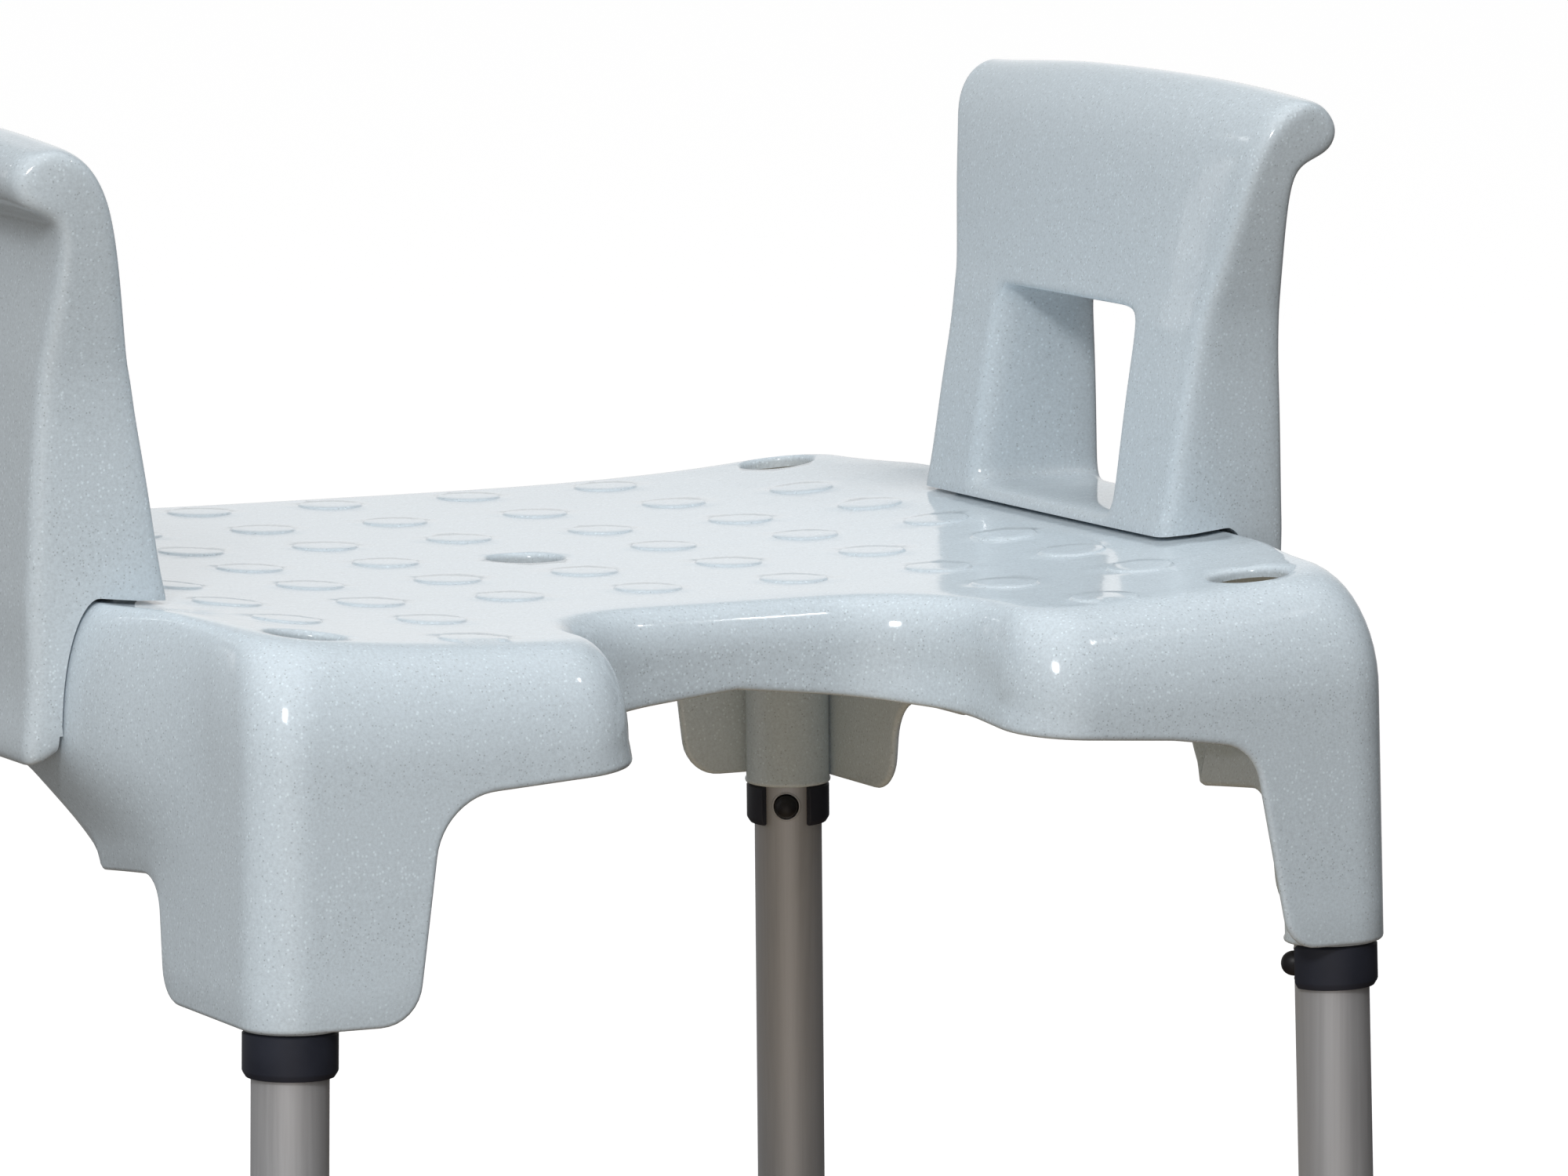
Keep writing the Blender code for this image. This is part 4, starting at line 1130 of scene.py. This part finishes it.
# --------------------------------------------------------- floor, light, camera
floor_mesh = bpy.data.meshes.new("studio_floor")
floor_mesh.from_pydata([(-30, -30, 0), (30, -30, 0), (30, 60, 0), (-30, 60, 0)], [], [(0, 1, 2, 3)])
floor = bpy.data.objects.new("studio_floor", floor_mesh)
scene.collection.objects.link(floor)
fl = Nodes("pale_studio_floor")
fl.into("Base Color", (0.93, 0.93, 0.93))
fl.into("Roughness", 0.9)
fl.into("Specular IOR Level", 0.1)
fl.into("Emission Color", (1.0, 1.0, 1.0))
fl.into("Emission Strength", 0.45)
fl.mat.cycles.emission_sampling = "NONE"
floor.data.materials.append(fl.mat)
floor.visible_diffuse = False
floor.visible_glossy = False
floor.visible_shadow = False

world = bpy.data.worlds.new("studio")
scene.world = world
world.use_nodes = True
wt = world.node_tree
back = wt.nodes["Background"]
wc = wt.nodes.new("ShaderNodeTexCoord")
VIEW = (0.4509, 0.8926)      # heading of the photograph's view, over the floor


def heading_vector(azimuth, elevation):
    """Azimuth 0 is the far side of the chair as photographed, 90 its right."""
    a, e = math.radians(azimuth), math.radians(elevation)
    x = math.cos(a) * VIEW[0] + math.sin(a) * VIEW[1]
    y = math.cos(a) * VIEW[1] - math.sin(a) * VIEW[0]
    return Vector((x * math.cos(e), y * math.cos(e), math.sin(e)))


# soft patches of the studio: azimuth, elevation, tightness, brightness, colour
PATCHES = [
    (0, 90, 4.0, 0.95, (1.0, 1.0, 1.0)),
    (135, 45, 8.0, 0.14, (1.0, 1.0, 1.0)),
    (180, 45, 8.0, 0.58, (1.0, 1.0, 1.0)),
    (225, 45, 8.0, 0.40, (1.0, 1.0, 1.0)),
    (270, 45, 8.0, 0.27, (1.0, 1.0, 1.0)),
    (0, 8, 12.0, 0.93, (1.0, 1.0, 1.0)),
    (90, 8, 12.0, 0.12, (1.0, 1.0, 1.0)),
    (135, 8, 12.0, 0.06, (1.0, 1.0, 1.0)),
    (180, 8, 12.0, 0.34, (1.0, 1.0, 1.0)),
    (225, 8, 12.0, 0.26, (1.0, 1.0, 1.0)),
    (270, 8, 12.0, 0.26, (1.0, 1.0, 1.0)),
    (315, 8, 12.0, 0.48, (1.0, 1.0, 1.0)),
    (180, -30, 8.0, 0.62, (1.12, 1.0, 0.90)),
    (0, -90, 3.0, 0.14, (1.40, 1.0, 0.62)),
]
total = None
for azimuth, elevation, tightness, brightness, colour in PATCHES:
    dot = wt.nodes.new("ShaderNodeVectorMath")
    dot.operation = "DOT_PRODUCT"
    wt.links.new(wc.outputs["Generated"], dot.inputs[0])
    dot.inputs[1].default_value = heading_vector(azimuth, elevation)
    front = wt.nodes.new("ShaderNodeMath")
    front.operation = "MAXIMUM"
    wt.links.new(dot.outputs["Value"], front.inputs[0])
    front.inputs[1].default_value = 0.0
    tight = wt.nodes.new("ShaderNodeMath")
    tight.operation = "POWER"
    wt.links.new(front.outputs["Value"], tight.inputs[0])
    tight.inputs[1].default_value = tightness
    tinted = wt.nodes.new("ShaderNodeVectorMath")
    tinted.operation = "SCALE"
    tinted.inputs[0].default_value = [brightness * c for c in colour]
    wt.links.new(tight.outputs["Value"], tinted.inputs["Scale"])
    if total is None:
        total = tinted.outputs["Vector"]
    else:
        add = wt.nodes.new("ShaderNodeVectorMath")
        add.operation = "ADD"
        wt.links.new(total, add.inputs[0])
        wt.links.new(tinted.outputs["Vector"], add.inputs[1])
        total = add.outputs["Vector"]
wt.links.new(total, back.inputs["Color"])
back.inputs["Strength"].default_value = 1.0


def area_light(name, place, aim, size, energy, color=(1, 1, 1), size_y=None):
    data = bpy.data.lights.new(name, "AREA")
    data.shape = "RECTANGLE"
    data.size = size
    data.size_y = size_y or size
    data.energy = energy
    data.color = color
    obj = bpy.data.objects.new(name, data)
    obj.location = place
    obj.rotation_euler = (Vector(aim) - Vector(place)).to_track_quat("-Z", "Y").to_euler()
    scene.collection.objects.link(obj)
    return obj


AIM = Vector((0.05, -0.10, 0.45))


def softbox(name, azimuth, elevation, distance, size, size_y, energy, color=(1.0, 1.0, 1.0)):
    return area_light(name, AIM + heading_vector(azimuth, elevation) * distance, AIM, size, energy, color, size_y)


softbox("key_softbox", 193, 31, 3.2, 0.45, 0.45, 28.0)
top_light = softbox("top_softbox", 90, 72, 1.6, 0.5, 0.5, 7.0)
near_fill = area_light("near_fill", (-0.595, -0.66, 0.46), (-0.18, -0.24, 0.37), 0.22, 0.68)
floor_bounce = area_light("floor_bounce", (0.0, 0.0, 0.10), (0.0, 0.0, 1.0), 0.3, 0.20, (1.0, 0.64, 0.22))
for lamp in (top_light, near_fill, floor_bounce):
    lamp.visible_glossy = False
    lamp.visible_camera = False
softbox("side_strip", 300.9, 12, 3.0, 0.025, 0.60, 0.22)
softbox("side_spot", 305, 26, 3.0, 0.08, 0.08, 0.16)
edge_spot = Vector((0.023, -0.150, 0.413))
area_light("edge_spot", edge_spot + heading_vector(110, 48) * 1.5 - Vector((0.017, 0.0, 0.0)), edge_spot, 0.05, 0.60,
           size_y=0.04)

camera_data = bpy.data.cameras.new("camera")
camera_data.lens = 216.0
camera_data.sensor_width = 36.0
camera_data.clip_end = 100.0
camera = bpy.data.objects.new("camera", camera_data)
scene.collection.objects.link(camera)
pitch_down = math.radians(7.34)
view = Vector((0.4509 * math.cos(pitch_down), 0.8926 * math.cos(pitch_down), -math.sin(pitch_down)))
camera.matrix_world = Matrix.Translation((-1.5355, -3.2315, 0.868)) @ view.to_track_quat("-Z", "Y").to_matrix().to_4x4()
scene.camera = camera
scene.view_settings.view_transform = "Standard"

bpy.context.view_layer.update()
